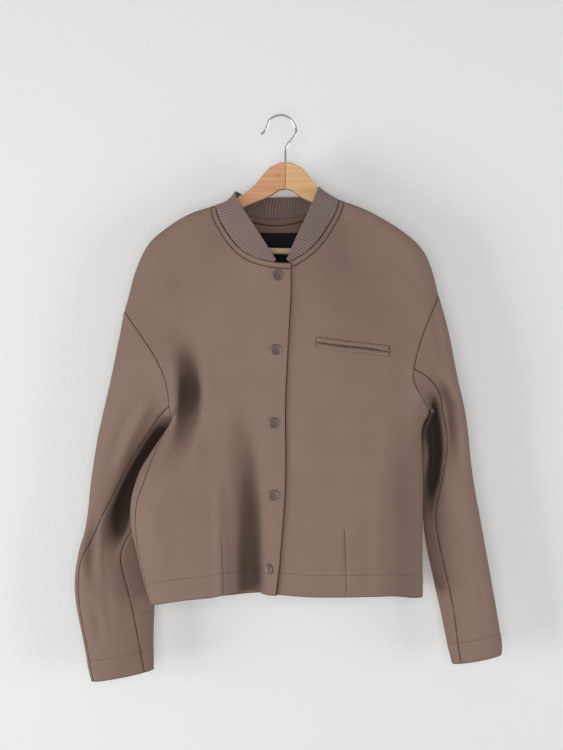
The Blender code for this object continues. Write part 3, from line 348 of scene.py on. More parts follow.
def outerSkin(name, middle):
    # the solid's outer face as an open mesh of triangles
    bm = bmesh.new()
    bm.from_mesh(nodes[name].data)
    bmesh.ops.remove_doubles(bm, verts=bm.verts, dist=skinRead["merge"])
    bm.normal_update()
    thicknesses = wallThickness.get(name, skinRead["welt" if "welt" in name else "cloth"])
    rim = [face for face in bm.faces if any(isCrossEdge(edge, thicknesses) for edge in face.edges)]
    bmesh.ops.delete(bm, geom=rim, context="FACES")
    islands = []
    left = set(bm.faces)
    while left:
        island, queue = set(), [left.pop()]
        while queue:
            face = queue.pop()
            island.add(face)
            for edge in face.edges:
                for other in edge.link_faces:
                    if other in left:
                        left.remove(other)
                        queue.append(other)
        islands.append(island)
    islands = sorted(islands, key=len)[-2:]
    facing = []
    for part in islands:
        facing.append(sum(f.calc_area() * f.normal.dot(f.calc_center_median() - middle) for f in part))
    keep = islands[facing.index(max(facing))]
    bmesh.ops.delete(bm, geom=[face for face in bm.faces if face not in keep], context="FACES")
    bmesh.ops.delete(bm, geom=[vert for vert in bm.verts if not vert.link_faces], context="VERTS")
    bm.normal_update()
    return bm


def boundaryLoop(bm):
    edges = [edge for edge in bm.edges if edge.is_boundary]
    loop = list(edges[0].verts)
    used = {edges[0]}
    while True:
        onward = [edge for edge in loop[-1].link_edges if edge.is_boundary and edge not in used]
        if not onward:
            return loop[:-1]
        used.add(onward[0])
        loop.append(onward[0].other_vert(loop[-1]))


def turning(loop, place):
    before, here, after = (loop[(place + step) % len(loop)].co for step in (-1, 0, 1))
    return (here - before).angle(after - here)


def gridOf(bm, rows, columns):
    # the skin's vertices as rows from the highest down, with outward-facing order
    loop = boundaryLoop(bm)
    size = 2 * (rows + columns) - 4
    if len(loop) != size:
        raise ValueError(f"a skin has {len(loop)} vertices round it instead of {size}")
    found = []
    for start in range(size):
        corners = [start, start + columns - 1, start + columns + rows - 2, start + 2 * columns + rows - 3]
        corners = [corner % size for corner in corners]
        if all(len(loop[corner].link_faces) <= 2 for corner in corners):
            found.append((sum(turning(loop, corner) for corner in corners), corners))
    _, corners = max(found, key=lambda choice: choice[0])
    turned = loop[corners[0]:] + loop[:corners[0]]
    first, far = turned[:columns], turned[columns + rows - 2:2 * columns + rows - 2]
    side = [turned[0]] + turned[:-rows:-1]
    if sum(vert.co.z for vert in first) < sum(vert.co.z for vert in far):
        first, side = far, turned[columns - 1:columns + rows - 1][::-1]
    lines, used = [first], set()
    for i in range(1, rows):
        above, line = lines[-1], [side[i]]
        for j in range(columns - 1):
            a, b, c = above[j], above[j + 1], line[j]
            upper = next(face for face in bm.edges.get((a, b)).link_faces if face not in used)
            used.add(upper)
            third = next(vert for vert in upper.verts if vert not in (a, b))
            if third is c:
                lower = next(face for face in bm.edges.get((b, c)).link_faces if face not in used)
                third = next(vert for vert in lower.verts if vert not in (b, c))
            else:
                lower = next(face for face in bm.edges.get((a, third)).link_faces if face not in used)
            used.add(lower)
            line.append(third)
        lines.append(line)
    points = np.array([[vert.co for vert in line] for line in lines])
    normals = np.array([[vert.normal for vert in line] for line in lines])
    facing = np.cross(points[:-1, 1:] - points[:-1, :-1], points[1:, :-1] - points[:-1, :-1])
    if (facing * normals[:-1, :-1]).sum() < 0:
        points = points[:, ::-1]
    return points


behind = Vector((0, 1, 0))


def skinGrid(node, rows, columns, middle):
    skin = outerSkin(node, middle)
    grid = gridOf(skin, rows, columns)
    skin.free()
    return grid


def middleOf(*names):
    corners = [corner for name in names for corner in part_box(name)]
    low = Vector([min(corner[axis] for corner in corners) for axis in range(3)])
    high = Vector([max(corner[axis] for corner in corners) for axis in range(3)])
    return (low + high) / 2


# piece: solid, rows, columns
torsoPanels = {
    "frontRight": ("front_right", 27, 20), "frontLeft": ("front_left", 27, 20), "backPanel": ("back", 27, 29),
}
rightSleeve = {
    "sleeveRightUpper": ("sleeve_right_upper", 19, 17), "sleeveRightUnder": ("sleeve_right_under", 19, 9),
}
leftSleeve = {
    "sleeveLeftUpper": ("sleeve_left_upper", 18, 17), "sleeveLeftUnder": ("sleeve_left_under", 18, 9),
}
panels = {**torsoPanels, **rightSleeve, **leftSleeve}
panelNames = list(panels)
grids = {}
for group in (torsoPanels, rightSleeve, leftSleeve):
    middle = middleOf(*[values[0] for values in group.values()])
    for name, (node, rows, columns) in group.items():
        grids[name] = skinGrid(node, rows, columns, middle)
print("skins read:", {name: grid.shape[:2] for name, grid in grids.items()})


# the cloth: the panels joined along their seams, made smooth, then creased
weave = dict(
    levels=3, seamReach=0.0029, hemMiddle=-0.005, thickness=0.002, edgeRound=0.0007, edgeSteps=3, sharp=50,
)


def cellPlaces(grid, name):
    # each point's own place on the flat cloth: across the grain, then down it
    steps = np.linalg.norm(np.diff(grid, axis=1), axis=2)
    across = np.concatenate([np.zeros((len(grid), 1)), np.cumsum(steps, axis=1)], axis=1)
    if name.startswith("sleeve"):
        across -= across[:, across.shape[1] // 2][:, None]
        centres = grid.mean(axis=1)
        fall = np.concatenate([[0], np.cumsum(np.linalg.norm(np.diff(centres, axis=0), axis=1))])
        down = np.repeat(fall[:, None], grid.shape[1], axis=1)
    else:
        nearest = np.argmin(np.abs(grid[-1, :, 0] - weave["hemMiddle"]))
        across -= across[:, nearest][:, None]
        down = -grid[:, :, 2]
    return np.stack([across, down], axis=2)


def treeOf(samples):
    tree = KDTree(len(samples))
    for i, sample in enumerate(samples):
        tree.insert(sample, i)
    tree.balance()
    return tree


def joinedCloth():
    bm = bmesh.new()
    uv = bm.loops.layers.uv.new("clothUV")
    edgeVerts = []
    for index, name in enumerate(panelNames):
        grid = grids[name]
        rows, columns = grid.shape[:2]
        made = bmesh.ops.create_grid(bm, x_segments=columns - 1, y_segments=rows - 1, size=1)["verts"]
        place = dict(zip(made, cellPlaces(grid, name).reshape(-1, 2)))
        for vert, point in zip(made, grid.reshape(-1, 3)):
            vert.co = point
        for face in {face for vert in made for face in vert.link_faces}:
            face.material_index = index
            for loop in face.loops:
                loop[uv].uv = place[loop.vert]
        edgeVerts += [(vert, index) for vert in made if any(edge.is_boundary for edge in vert.link_edges)]
    tree = treeOf([vert.co for vert, _ in edgeVerts])
    nearest = []
    for vert, index in edgeVerts:
        own = {}
        for _, i, distance in tree.find_range(vert.co, weave["seamReach"]):
            other = edgeVerts[i][1]
            if other != index and (other not in own or distance < own[other][0]):
                own[other] = (distance, i)
        nearest.append({other: i for other, (_, i) in own.items()})
    group = list(range(len(edgeVerts)))

    def root(i):
        while group[i] != i:
            i = group[i]
        return i

    for i, (_, index) in enumerate(edgeVerts):
        for j in nearest[i].values():
            if nearest[j].get(index) == i:
                group[root(j)] = root(i)
    members = {}
    for i, (vert, _) in enumerate(edgeVerts):
        members.setdefault(root(i), []).append(vert)
    targets = {}
    for verts in members.values():
        if len(verts) > 1:
            middle = sum((vert.co for vert in verts), Vector()) / len(verts)
            for vert in verts:
                vert.co = middle
            for vert in verts[1:]:
                targets[vert] = verts[0]
    bmesh.ops.weld_verts(bm, targetmap=targets)
    bm.normal_update()
    return newObject("joinedCloth", bm, [])


def fineMesh(rough, levels):
    smooth = rough.modifiers.new("smooth", "SUBSURF")
    smooth.levels = smooth.render_levels = levels
    smooth.boundary_smooth = "PRESERVE_CORNERS"
    smooth.uv_smooth = "PRESERVE_BOUNDARIES"
    graph = bpy.context.evaluated_depsgraph_get()
    mesh = bpy.data.meshes.new_from_object(rough.evaluated_get(graph))
    bpy.data.objects.remove(rough)
    return mesh


def pointsOf(mesh):
    points = np.zeros(len(mesh.vertices) * 3, np.float32)
    mesh.vertices.foreach_get("co", points)
    return points.reshape(-1, 3).astype(float)


def normalsOf(mesh):
    normals = np.zeros(len(mesh.vertices) * 3, np.float32)
    mesh.vertex_normals.foreach_get("vector", normals)
    return normals.reshape(-1, 3).astype(float)


def setPoints(mesh, points):
    mesh.vertices.foreach_set("co", points.astype(np.float32).ravel())
    mesh.update()


def smoothStep(low, high, value):
    share = np.clip((value - low) / (high - low), 0, 1)
    return share * share * (3 - 2 * share)


def seenAt(points):
    # where the photo's camera sees each point, in the photo's own pixels
    x0, y0, z0 = camera["place"]
    focal = camera["lens"] / camera["sensor"] * camera["longSide"]
    away = points[:, 1] - y0
    across = camera["centre"][0] + focal * (points[:, 0] - x0) / away
    down = camera["centre"][1] - focal * (points[:, 2] - z0) / away
    return np.stack([across, down], axis=1)


def lineDistance(places, line):
    # the distance to a line of spots, and the share of the way along it
    nearest = np.full(len(places), 1e9)
    along = np.zeros(len(places))
    spots = np.array(line, float)
    lengths = np.linalg.norm(np.diff(spots, axis=0), axis=1)
    total, gone = lengths.sum(), 0.0
    for a, b, length in zip(spots, spots[1:], lengths):
        run = b - a
        t = np.clip(((places - a) @ run) / (length * length), 0, 1)
        distance = np.linalg.norm(places - a - t[:, None] * run, axis=1)
        closer = distance < nearest
        nearest[closer] = distance[closer]
        along[closer] = ((gone + t * length) / total)[closer]
        gone += length
    return nearest, along


# creases in the photo's pixels: their side of the jacket, their half-width, how many millimetres they press
# the cloth in (a ridge is below nothing), the shares of their length over which they fade in and out, and
# their spots
creases = (
    # the right front's chest and side
    ("front", 16, 1.6, (0.3, 0.3), ((172, 318), (178, 345), (184, 372))),
    ("front", 15.5, 14, (0.5, 0.6),
     ((186, 322), (188, 360), (189.5, 392), (187.5, 418), (182, 442), (170, 474))),
    ("front", 7, -1.8, (0.4, 0.3), ((174, 352), (176, 385), (175, 410))),
    ("front", 15, 10, (0.6, 0.001), ((244, 392), (248, 450), (250, 520), (250, 606))),
    ("front", 9, -1.6, (0.5, 0.001), ((214, 440), (218, 500), (221, 560), (222, 606))),
    ("front", 12, 1.8, (0.4, 0.5), ((200, 372), (206, 430), (212, 500))),
    ("front", 10, -1.2, (0.5, 0.5), ((226, 400), (230, 470), (236, 560))),
    ("front", 18, 1.3, (0.5, 0.3), ((158, 478), (166, 520), (182, 590))),
    # the left front's chest and side
    ("front", 16, 1.8, (0.4, 0.4), ((412, 340), (404, 372), (398, 420))),
    ("front", 9, -1.6, (0.3, 0.4), ((422, 372), (416, 408), (414, 452))),
    ("front", 20, 1.2, (0.5, 0.5), ((330, 380), (334, 440), (338, 520))),
    ("front", 14, -1.0, (0.5, 0.5), ((362, 400), (366, 470), (370, 540))),
    ("front", 21, 5, (0.5, 0.001), ((400, 400), (403, 460), (404, 530), (404, 606))),
    ("front", 12, -1.5, (0.5, 0.001), ((372, 430), (378, 500), (380, 606))),
    # shoulders over the hanger's ends
    ("front", 12, -1.4, (0.4, 0.6), ((163, 232), (156, 262), (150, 290))),
    ("front", 12, -1.4, (0.4, 0.6), ((404, 236), (414, 262), (424, 290))),
    ("front", 14, 1.2, (0.5, 0.5), ((186, 240), (180, 280), (178, 318))),
    ("front", 14, 1.2, (0.5, 0.5), ((384, 240), (390, 280), (396, 318))),
    # the right sleeve: the fold towards the armpit, the bend and the forearm
    ("front", 9, -4.5, (0.4, 0.4), ((156, 388), (142, 414), (126, 446), (110, 486))),
    ("front", 9, 2.0, (0.5, 0.5), ((138, 396), (122, 428), (108, 466))),
    ("front", 9, 5.5, (0.4, 0.5), ((97, 506), (91, 536), (90, 566), (95, 596))),
    ("front", 7, -1.2, (0.4, 0.5), ((84, 520), (82, 552), (86, 590))),
    ("front", 7, 1.6, (0.4, 0.4), ((92, 598), (98, 624), (98, 650))),
    ("front", 9, -1.0, (0.4, 0.5), ((112, 560), (116, 600), (122, 640))),
    # the left sleeve: the lit fold along its top and the bend below it
    ("front", 5, -1.6, (0.4, 0.4), ((437, 296), (443, 320), (452, 356))),
    ("front", 6, 1.6, (0.3, 0.5), ((430, 300), (436, 330), (446, 372))),
    ("front", 11, 9, (0.3, 0.5), ((426, 374), (440, 385), (450, 406), (452, 440), (453, 482))),
    ("front", 8, -1.6, (0.5, 0.5), ((440, 440), (446, 480), (450, 520))),
    ("front", 8, 1.8, (0.5, 0.5), ((452, 520), (462, 556), (470, 600))),
    ("front", 7, -1.2, (0.4, 0.4), ((466, 560), (476, 600), (482, 640))),
    # the back: from the hanger's ends to the armpits, then down to the hem
    ("back", 14, 2.0, (0.4, 0.5), ((196, 236), (182, 300), (176, 372))),
    ("back", 14, 2.0, (0.4, 0.5), ((374, 236), (390, 300), (398, 366))),
    ("back", 12, -1.6, (0.4, 0.5), ((164, 300), (176, 372), (184, 430))),
    ("back", 12, -1.6, (0.4, 0.5), ((420, 300), (408, 366), (402, 424))),
    ("back", 16, 2.0, (0.4, 0.4), ((214, 380), (218, 470), (214, 590))),
    ("back", 18, 1.8, (0.4, 0.4), ((350, 380), (344, 470), (352, 590))),
    ("back", 22, -1.4, (0.5, 0.4), ((282, 330), (280, 440), (286, 590))),
    ("back", 12, 1.6, (0.4, 0.4), ((172, 440), (170, 510), (176, 590))),
    ("back", 8, 2.2, (0.5, 0.5), ((138, 392), (120, 432), (104, 480))),
    ("back", 8, 1.8, (0.5, 0.5), ((100, 500), (98, 548), (104, 600))),
    ("back", 8, 2.0, (0.5, 0.5), ((444, 384), (452, 430), (464, 486))),
    ("back", 8, 1.6, (0.5, 0.5), ((458, 520), (466, 566), (476, 620))),
)


# the turn towards a side over which its creases fade in, the lip that pressed cloth raises beside a crease,
# and the painted shade that darkens a fold's colour: past which press, in full at which, and how dark at most
creaseForm = dict(turn=(-0.15, 0.45), lipAt=1.15, lipWidth=0.3, lip=0.16, darkFrom=4, darkFull=14, dark=0.85)


def dipAcross(places, width, fades, line):
    # each place's share of a fold's depth, its distance in half-widths, and the fade at the fold's two ends
    distance, along = lineDistance(places, line)
    reach = distance / width
    dip = 0.5 * (1 + np.cos(np.pi * np.minimum(reach, 1)))
    return dip, reach, smoothStep(0, fades[0], along) * smoothStep(0, fades[1], 1 - along)


def creaseDepths(points, normals):
    places = seenAt(points)
    depth = np.zeros(len(points))
    weights = {
        "front": smoothStep(*creaseForm["turn"], -normals[:, 1]),
        "back": smoothStep(*creaseForm["turn"], normals[:, 1]),
    }
    for side, width, press, fades, line in creases:
        dip, reach, ends = dipAcross(places, width, fades, line)
        lip = np.exp(-((reach - creaseForm["lipAt"]) / creaseForm["lipWidth"]) ** 2) * creaseForm["lip"]
        depth += (dip - lip) * ends * weights[side] * press * millimetre
    return depth


def paintedCreaseShade(points, normals):
    # painted shade in the creases: 0 on open cloth, and the most at the bottom of the front's deepest folds
    places = seenAt(points)
    front = smoothStep(*creaseForm["turn"], -normals[:, 1])
    most = np.zeros(len(points))
    for side, width, press, fades, line in creases:
        if side == "front" and press > creaseForm["darkFrom"]:
            dip, _, ends = dipAcross(places, width, fades, line)
            most = np.maximum(most, dip * ends * front * min(1, press / creaseForm["darkFull"]))
    return most * creaseForm["dark"]


# hollows under the arms, in the photo's pixels: the panel, the half-width, how many millimetres it moves to
# the left, to the back and up, whether only its front does, the fades at its two ends, and its spots
hollows = (
    ("sleeveRightUnder", 16, (0, 30, 0), True, (0.14, 0.35),
     ((166, 422), (152, 441), (138, 462), (127, 486), (119, 520), (116, 560))),
    ("sleeveLeftUnder", 14, (0, 29, 0), True, (0.3, 0.5),
     ((428, 384), (436, 402), (439, 430), (438, 460), (433, 492), (430, 530))),
    ("sleeveRightUnder", 8, (11, 9, 0), False, (0.3, 0.4), ((168, 414), (165, 422), (161, 434))),
    ("sleeveLeftUnder", 11, (-10, 5, 0), False, (0.3, 0.4), ((430, 402), (427, 418), (426, 432), (428, 452))),
)
# the gap that a hollow leaves to the cloth behind it before its moves are evened out, in how many rounds, and
# how much of its own move a point keeps in each; the turn to the front and the distance from a seam in which
# a hollow fades in; the move back at which its painted shade is darkest; the smallest move that is limited;
# and where the ray to the cloth behind starts
hollowForm = dict(
    gap=0.006, rounds=40, kept=0.4, turn=(-0.1, 0.4), seamFade=0.009, darkFull=0.014, smallest=1e-5,
    rayStart=0.0005,
)
# the shoulders' outline, along which the cloth is drawn in from the front and the back over the hanger
shoulders = dict(
    lines=(((206, 208), (185, 215), (160, 229), (147, 242), (136, 266), (129, 296)),
           ((350, 202), (380, 214), (408, 230), (424, 246), (433, 274), (438, 300))),
    reach=78, drawnIn=(0.3, 0.34),
)


def slopedShoulders(points):
    places = seenAt(points)
    for line, share in zip(shoulders["lines"], shoulders["drawnIn"]):
        near = 1 - smoothStep(0, shoulders["reach"], lineDistance(places, line)[0])
        points[:, 1] *= 1 - share * near
    return points


def evened(values, edges, rounds):
    # each point's value drawn to the mean of its neighbours'
    counts = np.bincount(edges.ravel(), minlength=len(values))[:, None]
    for _ in range(rounds):
        total = np.zeros_like(values)
        for axis in range(values.shape[1]):
            for a, b in ((0, 1), (1, 0)):
                total[:, axis] += np.bincount(edges[:, a], values[edges[:, b], axis], len(values))
        values = values * hollowForm["kept"] + total / counts * (1 - hollowForm["kept"])
    return values


def hollowMoves(points, normals, panel, seamDistance, faces):
    # how far each point moves, and how much painted shade darkens its colour
    tree = BVHTree.FromPolygons([Vector(point) for point in points], faces)
    places = seenAt(points)
    moves = np.zeros_like(points)
    front = smoothStep(*hollowForm["turn"], -normals[:, 1])
    front *= smoothStep(0, hollowForm["seamFade"], seamDistance)
    for name, width, move, frontOnly, fades, line in hollows:
        dip, _, ends = dipAcross(places, width, fades, line)
        weight = dip * ends * (panel == panelNames.index(name)) * (front if frontOnly else 1)
        moves += weight[:, None] * np.array(move) * millimetre
    # painted shade: darkest where the cloth is meant to move back the most
    shade = np.minimum(moves[:, 1] / hollowForm["darkFull"], 1)
    for i in np.where(moves[:, 1] > hollowForm["smallest"])[0]:
        start = Vector(points[i]) + Vector((0, hollowForm["rayStart"], 0))
        distance = tree.ray_cast(start, Vector((0, 1, 0)))[3]
        if distance is not None:
            moves[i] *= min(1, max(0, distance - hollowForm["gap"]) / moves[i, 1])
    return moves, shade


# lines drawn on the cloth, in the photo's pixels: the darts, the pocket's mouth and the welts' outline
dartLines = (((344.6, 531), (345.8, 565), (347, 600)), ((221.6, 534), (222.8, 566), (223.6, 604)))
pocketLine = ((316.6, 342), (335, 345), (352, 347), (370, 348.8), (388.6, 350.6))
weltOutline = (
    (316.4, 337), (352, 341.6), (390, 346), (390, 355.8), (352, 351.2), (315.8, 346.6), (316.4, 337),
)
# which free edge is which, from its height, its distance from the middle and how level it runs
edgeSort = dict(neckAbove=-0.26, neckHalf=0.13, neckLevel=0.15, hemBelow=-0.7, hemLevel=0.3)
# how far distances are measured, a pixel's size on the front, the normal's y from which cloth isn't the
# front's, and the placket's edge: its points before this y and past this pixel, one in so many
sewing = dict(
    reach=0.06, perPixel=0.00156, frontTurn=0.1, placketBefore=-0.015, placketPast=262, placketStep=4,
)
# grooves pressed in along the lines: the middle, the half-width and the depth in metres
grooves = dict(
    seam=(0, 0.0024, 0.0009), neck=(0.0088, 0.0014, 0.0005), dart=(0, 0.003, 0.0009),
    pocket=(0, 0.0035, 0.0016),
)
# raised bands along an edge: where each ends, within which distance it is full, and its height
bands = dict(neck=(0.0088, 0.0075, 0.0007), turnUp=(0.0348, 0.0332, 0.0004))


def distancesTo(samples, points, reach):
    if not len(samples):
        return np.full(len(points), reach)
    tree = treeOf(samples)
    return np.array([min(reach, tree.find(point)[2]) for point in points])


def edgeSamples(points, edges, count=5):
    shares = np.linspace(0, 1, count, endpoint=False)
    a, b = points[edges[:, 0]], points[edges[:, 1]]
    return np.concatenate([a + (b - a) * share for share in shares])


def panelOf(mesh):
    panel = np.zeros(len(mesh.vertices), int)
    for face in mesh.polygons:
        panel[list(face.vertices)] = face.material_index
    return panel


def edgeKinds(mesh, points):
    # the seams between panels, and the free edges sorted into neck, placket, hems and cuffs
    sides = {}
    for face in mesh.polygons:
        for key in face.edge_keys:
            sides.setdefault(key, []).append(face.material_index)
    seams = np.array([key for key, found in sides.items() if len(set(found)) > 1])
    free = [(key, found[0]) for key, found in sides.items() if len(found) == 1]
    kinds = {"neckRight": [], "neckLeft": [], "neckBack": [], "placket": [], "hem": [], "cuff": []}
    necks = {"frontLeft": "neckLeft", "frontRight": "neckRight"}
    for key, panel in free:
        name = panelNames[panel]
        x, _, z = points[list(key)].mean(axis=0)
        run = points[key[1]] - points[key[0]]
        level = abs(run[0]) / np.linalg.norm(run)
        atNeck = name == "backPanel" or level > edgeSort["neckLevel"]
        if name.startswith("sleeve"):
            kinds["cuff"].append(key)
        elif z > edgeSort["neckAbove"] and atNeck and abs(x) < edgeSort["neckHalf"]:
            kinds[necks.get(name, "neckBack")].append(key)
        elif z < edgeSort["hemBelow"] and level > edgeSort["hemLevel"]:
            kinds["hem"].append(key)
        else:
            kinds["placket"].append(key)
    return seams, {kind: np.array(keys) for kind, keys in kinds.items()}


def grooveAt(kind, distance):
    middle, width, depth = grooves[kind]
    return np.exp(-((distance - middle) / width) ** 2) * depth


def bandAt(kind, distance):
    start, end, height = bands[kind]
    return smoothStep(start, end, distance) * height


def addAttribute(mesh, name, values):
    made = mesh.attributes.new(name, "FLOAT", "POINT")
    made.data.foreach_set("value", values.astype(np.float32))


def placketLine(points, panel, edges):
    # the right front's free edge at the front, as the camera sees it from the top down
    own = [key for key in edges if panel[key[0]] == 0 and points[key[0], 1] < sewing["placketBefore"]]
    edge = points[np.unique(own)]
    edge = seenAt(edge[np.argsort(-edge[:, 2])])
    return edge[edge[:, 0] > sewing["placketPast"]][::sewing["placketStep"]]


def shapedCloth():
    mesh = fineMesh(joinedCloth(), weave["levels"])
    points = slopedShoulders(pointsOf(mesh))
    setPoints(mesh, points)
    seams, free = edgeKinds(mesh, points)
    panel = panelOf(mesh)
    reach = sewing["reach"]
    faces = [tuple(face.vertices) for face in mesh.polygons]
    fromSeams = distancesTo(edgeSamples(points, seams), points, reach)
    moves, shade = hollowMoves(points, normalsOf(mesh), panel, fromSeams, faces)
    points += evened(moves, np.array([tuple(edge.vertices) for edge in mesh.edges]), hollowForm["rounds"])
    setPoints(mesh, points)
    # painted shade for the colour of the folds and hollows
    paintedFoldShade = np.maximum(shade, paintedCreaseShade(points, normalsOf(mesh)))
    points -= normalsOf(mesh) * creaseDepths(points, normalsOf(mesh))[:, None]
    setPoints(mesh, points)
    print("cloth creased:", len(points), "points")
    places = seenAt(points)
    normals = normalsOf(mesh)

    def toEdges(keys, to=points):
        return distancesTo(edgeSamples(points, keys), to, reach)

    def toLine(line, *names):
        # the distance from a line seen by the camera, on the front of these panels only
        away = lineDistance(places, line)[0] * sewing["perPixel"]
        on = np.isin(panel, [panelNames.index(name) for name in names or panelNames])
        return np.where(on & (normals[:, 1] < sewing["frontTurn"]), away, reach)

    seamDistance = toEdges(seams)
    neckDistance = toEdges(free["neckBack"])
    for name, kind in (("frontRight", "neckRight"), ("frontLeft", "neckLeft")):
        own = np.where(panel == panelNames.index(name))[0]
        neckDistance[own] = np.minimum(neckDistance[own], toEdges(free[kind], points[own]))
    hemDistance = toEdges(np.concatenate([free["hem"], free["cuff"]]))
    darts = np.minimum(*[toLine(line) for line in dartLines])
    pocket = toLine(pocketLine, "frontLeft")
    welts = toLine(weltOutline, "frontLeft")
    # the placket's edge, along which both fronts are darkened with a painted shadow of the overlap
    placket = toLine(placketLine(points, panel, free["placket"]), "frontRight", "frontLeft")
    rise = bandAt("neck", neckDistance) + bandAt("turnUp", hemDistance)
    for kind, distance in dict(seam=seamDistance, neck=neckDistance, dart=darts, pocket=pocket).items():
        rise -= grooveAt(kind, distance)
    points += normals * rise[:, None]
    setPoints(mesh, points)
    for name, values in (
        ("seamDistance", seamDistance), ("neckDistance", neckDistance), ("hemDistance", hemDistance),
        ("dartDistance", darts), ("pocketDistance", pocket), ("weltDistance", welts),
        ("placketDistance", placket), ("paintedFoldShade", paintedFoldShade),
    ):
        addAttribute(mesh, name, values)
    return mesh


clothMesh = shapedCloth()
print("cloth shaped")


# the panels as separate shells
def thicken(made, thickness, offset):
    thick = made.modifiers.new("thick", "SOLIDIFY")
    thick.thickness = thickness
    thick.offset = offset
    return thick


def bevelEdges(bm, edges, offset, steps):
    bmesh.ops.bevel(
        bm, geom=edges, offset=offset, segments=steps, affect="EDGES", profile=0.5, material=-1,
        clamp_overlap=True,
    )


def smoothFaces(bm):
    for face in bm.faces:
        face.smooth = True


def panelShell(name):
    index = panelNames.index(name)
    bm = bmesh.new()
    bm.from_mesh(clothMesh)
    bmesh.ops.delete(bm, geom=[face for face in bm.faces if face.material_index != index], context="FACES")
    for face in bm.faces:
        face.material_index = 0
    made = newObject(name, bm, [taupeKnit])
    thick = thicken(made, weave["thickness"], -1)
    thick.use_rim = True
    thick.material_offset_rim = 1
    graph = bpy.context.evaluated_depsgraph_get()
    bm = bmesh.new()
    bm.from_mesh(bpy.data.meshes.new_from_object(made.evaluated_get(graph)))
    rim = {face for face in bm.faces if face.material_index == 1}
    paired = [edge for edge in bm.edges if len(edge.link_faces) == 2]
    corners = [edge for edge in paired if sum(face in rim for face in edge.link_faces) == 1]
    bevelEdges(bm, corners, weave["edgeRound"], weave["edgeSteps"])
    for face in bm.faces:
        face.material_index = 0
    smoothFaces(bm)
    made.modifiers.clear()
    bm.to_mesh(made.data)
    bm.free()
    made.data.set_sharp_from_angle(angle=math.radians(weave["sharp"]))
    return made


clothPieces = {}
for name, values in panels.items():
    clothPieces[name] = mount(panelShell(name), "cloth", values[0])
print("panels made:", {name: len(made.data.polygons) for name, made in clothPieces.items()})


# the ribbed collar: where ribs on the right front meet the seam and the fold above, in the photo's pixels
ribLean = (
    ((216.8, 208.7), (237.4, 207)), ((222.2, 220.2), (242.3, 214.4)), ((227.4, 231.1), (247.5, 222.5)),
    ((233.1, 239.1), (252.6, 229.9)), ((240.6, 247.2), (258.7, 237.4)), ((248.6, 252.9), (265, 244.9)),
)
collar = dict(
    ribs=108, perRib=8, sideRows=9, foldRows=6, thickness=0.0027, ribHeight=0.0011, ribPower=0.55,
    ribShare=0.8, edgeRounds=12, leanRounds=40,
)
# the rib: its colour darkened in the grooves between the ribs as painted shade
ribLook = dict(
    colour=(0.225, 0.158, 0.142), stitchShadeColour=(0.06, 0.04, 0.036), roughness=0.92, sheen=0.25, wale=1500.0,
    course=1300.0, mottle=0.12, knitBump=0.2, lineBump=0.6, hollow=0,
    lines=(("ribHollow", 0.0, 0.0011, 0.8),),
)
taupeRib = clothMaterial("taupeRib", ribLook)


def resampled(line, count):
    lengths = np.concatenate([[0], np.cumsum(np.linalg.norm(np.diff(line, axis=0), axis=1))])
    wanted = np.linspace(0, lengths[-1], count)
    return np.stack([np.interp(wanted, lengths, line[:, axis]) for axis in range(3)], axis=1)


def smoothed(line, rounds):
    for _ in range(rounds):
        line[1:-1] = line[1:-1] * 0.5 + (line[:-2] + line[2:]) * 0.25
    return line


def unit(vectors):
    return vectors / np.linalg.norm(vectors, axis=-1, keepdims=True)


weldReach = 1e-7


def gridObject(name, points, materials, capped=False, closed=False):
    # a sheet of points rows x columns; closed joins its first and last rows, and capped fills its ends
    rows, columns = points.shape[:2]
    bm = bmesh.new()
    uv = bm.loops.layers.uv.new("clothUV")
    made = bmesh.ops.create_grid(bm, x_segments=columns - 1, y_segments=rows - 1, size=1)["verts"]
    steps, falls = np.zeros((rows, columns)), np.zeros((rows, columns))
    steps[:, 1:] = np.cumsum(np.linalg.norm(np.diff(points, axis=1), axis=2), axis=1)
    falls[1:] = np.cumsum(np.linalg.norm(np.diff(points, axis=0), axis=2), axis=0)
    place = dict(zip(made, np.stack([steps, falls], axis=2).reshape(-1, 2)))
    for vert, point in zip(made, points.reshape(-1, 3)):
        vert.co = point
    smoothFaces(bm)
    for face in bm.faces:
        for loop in face.loops:
            loop[uv].uv = place[loop.vert]
    if closed:
        bmesh.ops.remove_doubles(bm, verts=bm.verts, dist=weldReach)
    if capped:
        bmesh.ops.holes_fill(bm, edges=[edge for edge in bm.edges if edge.is_boundary], sides=0)
    bmesh.ops.recalc_face_normals(bm, faces=bm.faces)
    return newObject(name, bm, materials)


def nearestShare(line, spot):
    # the share of the way along a line where the photo's camera sees it nearest a spot
    return float(np.argmin(np.linalg.norm(seenAt(line) - np.array(spot), axis=1))) / (len(line) - 1)


def atShares(line, shares):
    own = np.linspace(0, 1, len(line))
    return np.stack([np.interp(shares, own, line[:, axis]) for axis in range(3)], axis=1)


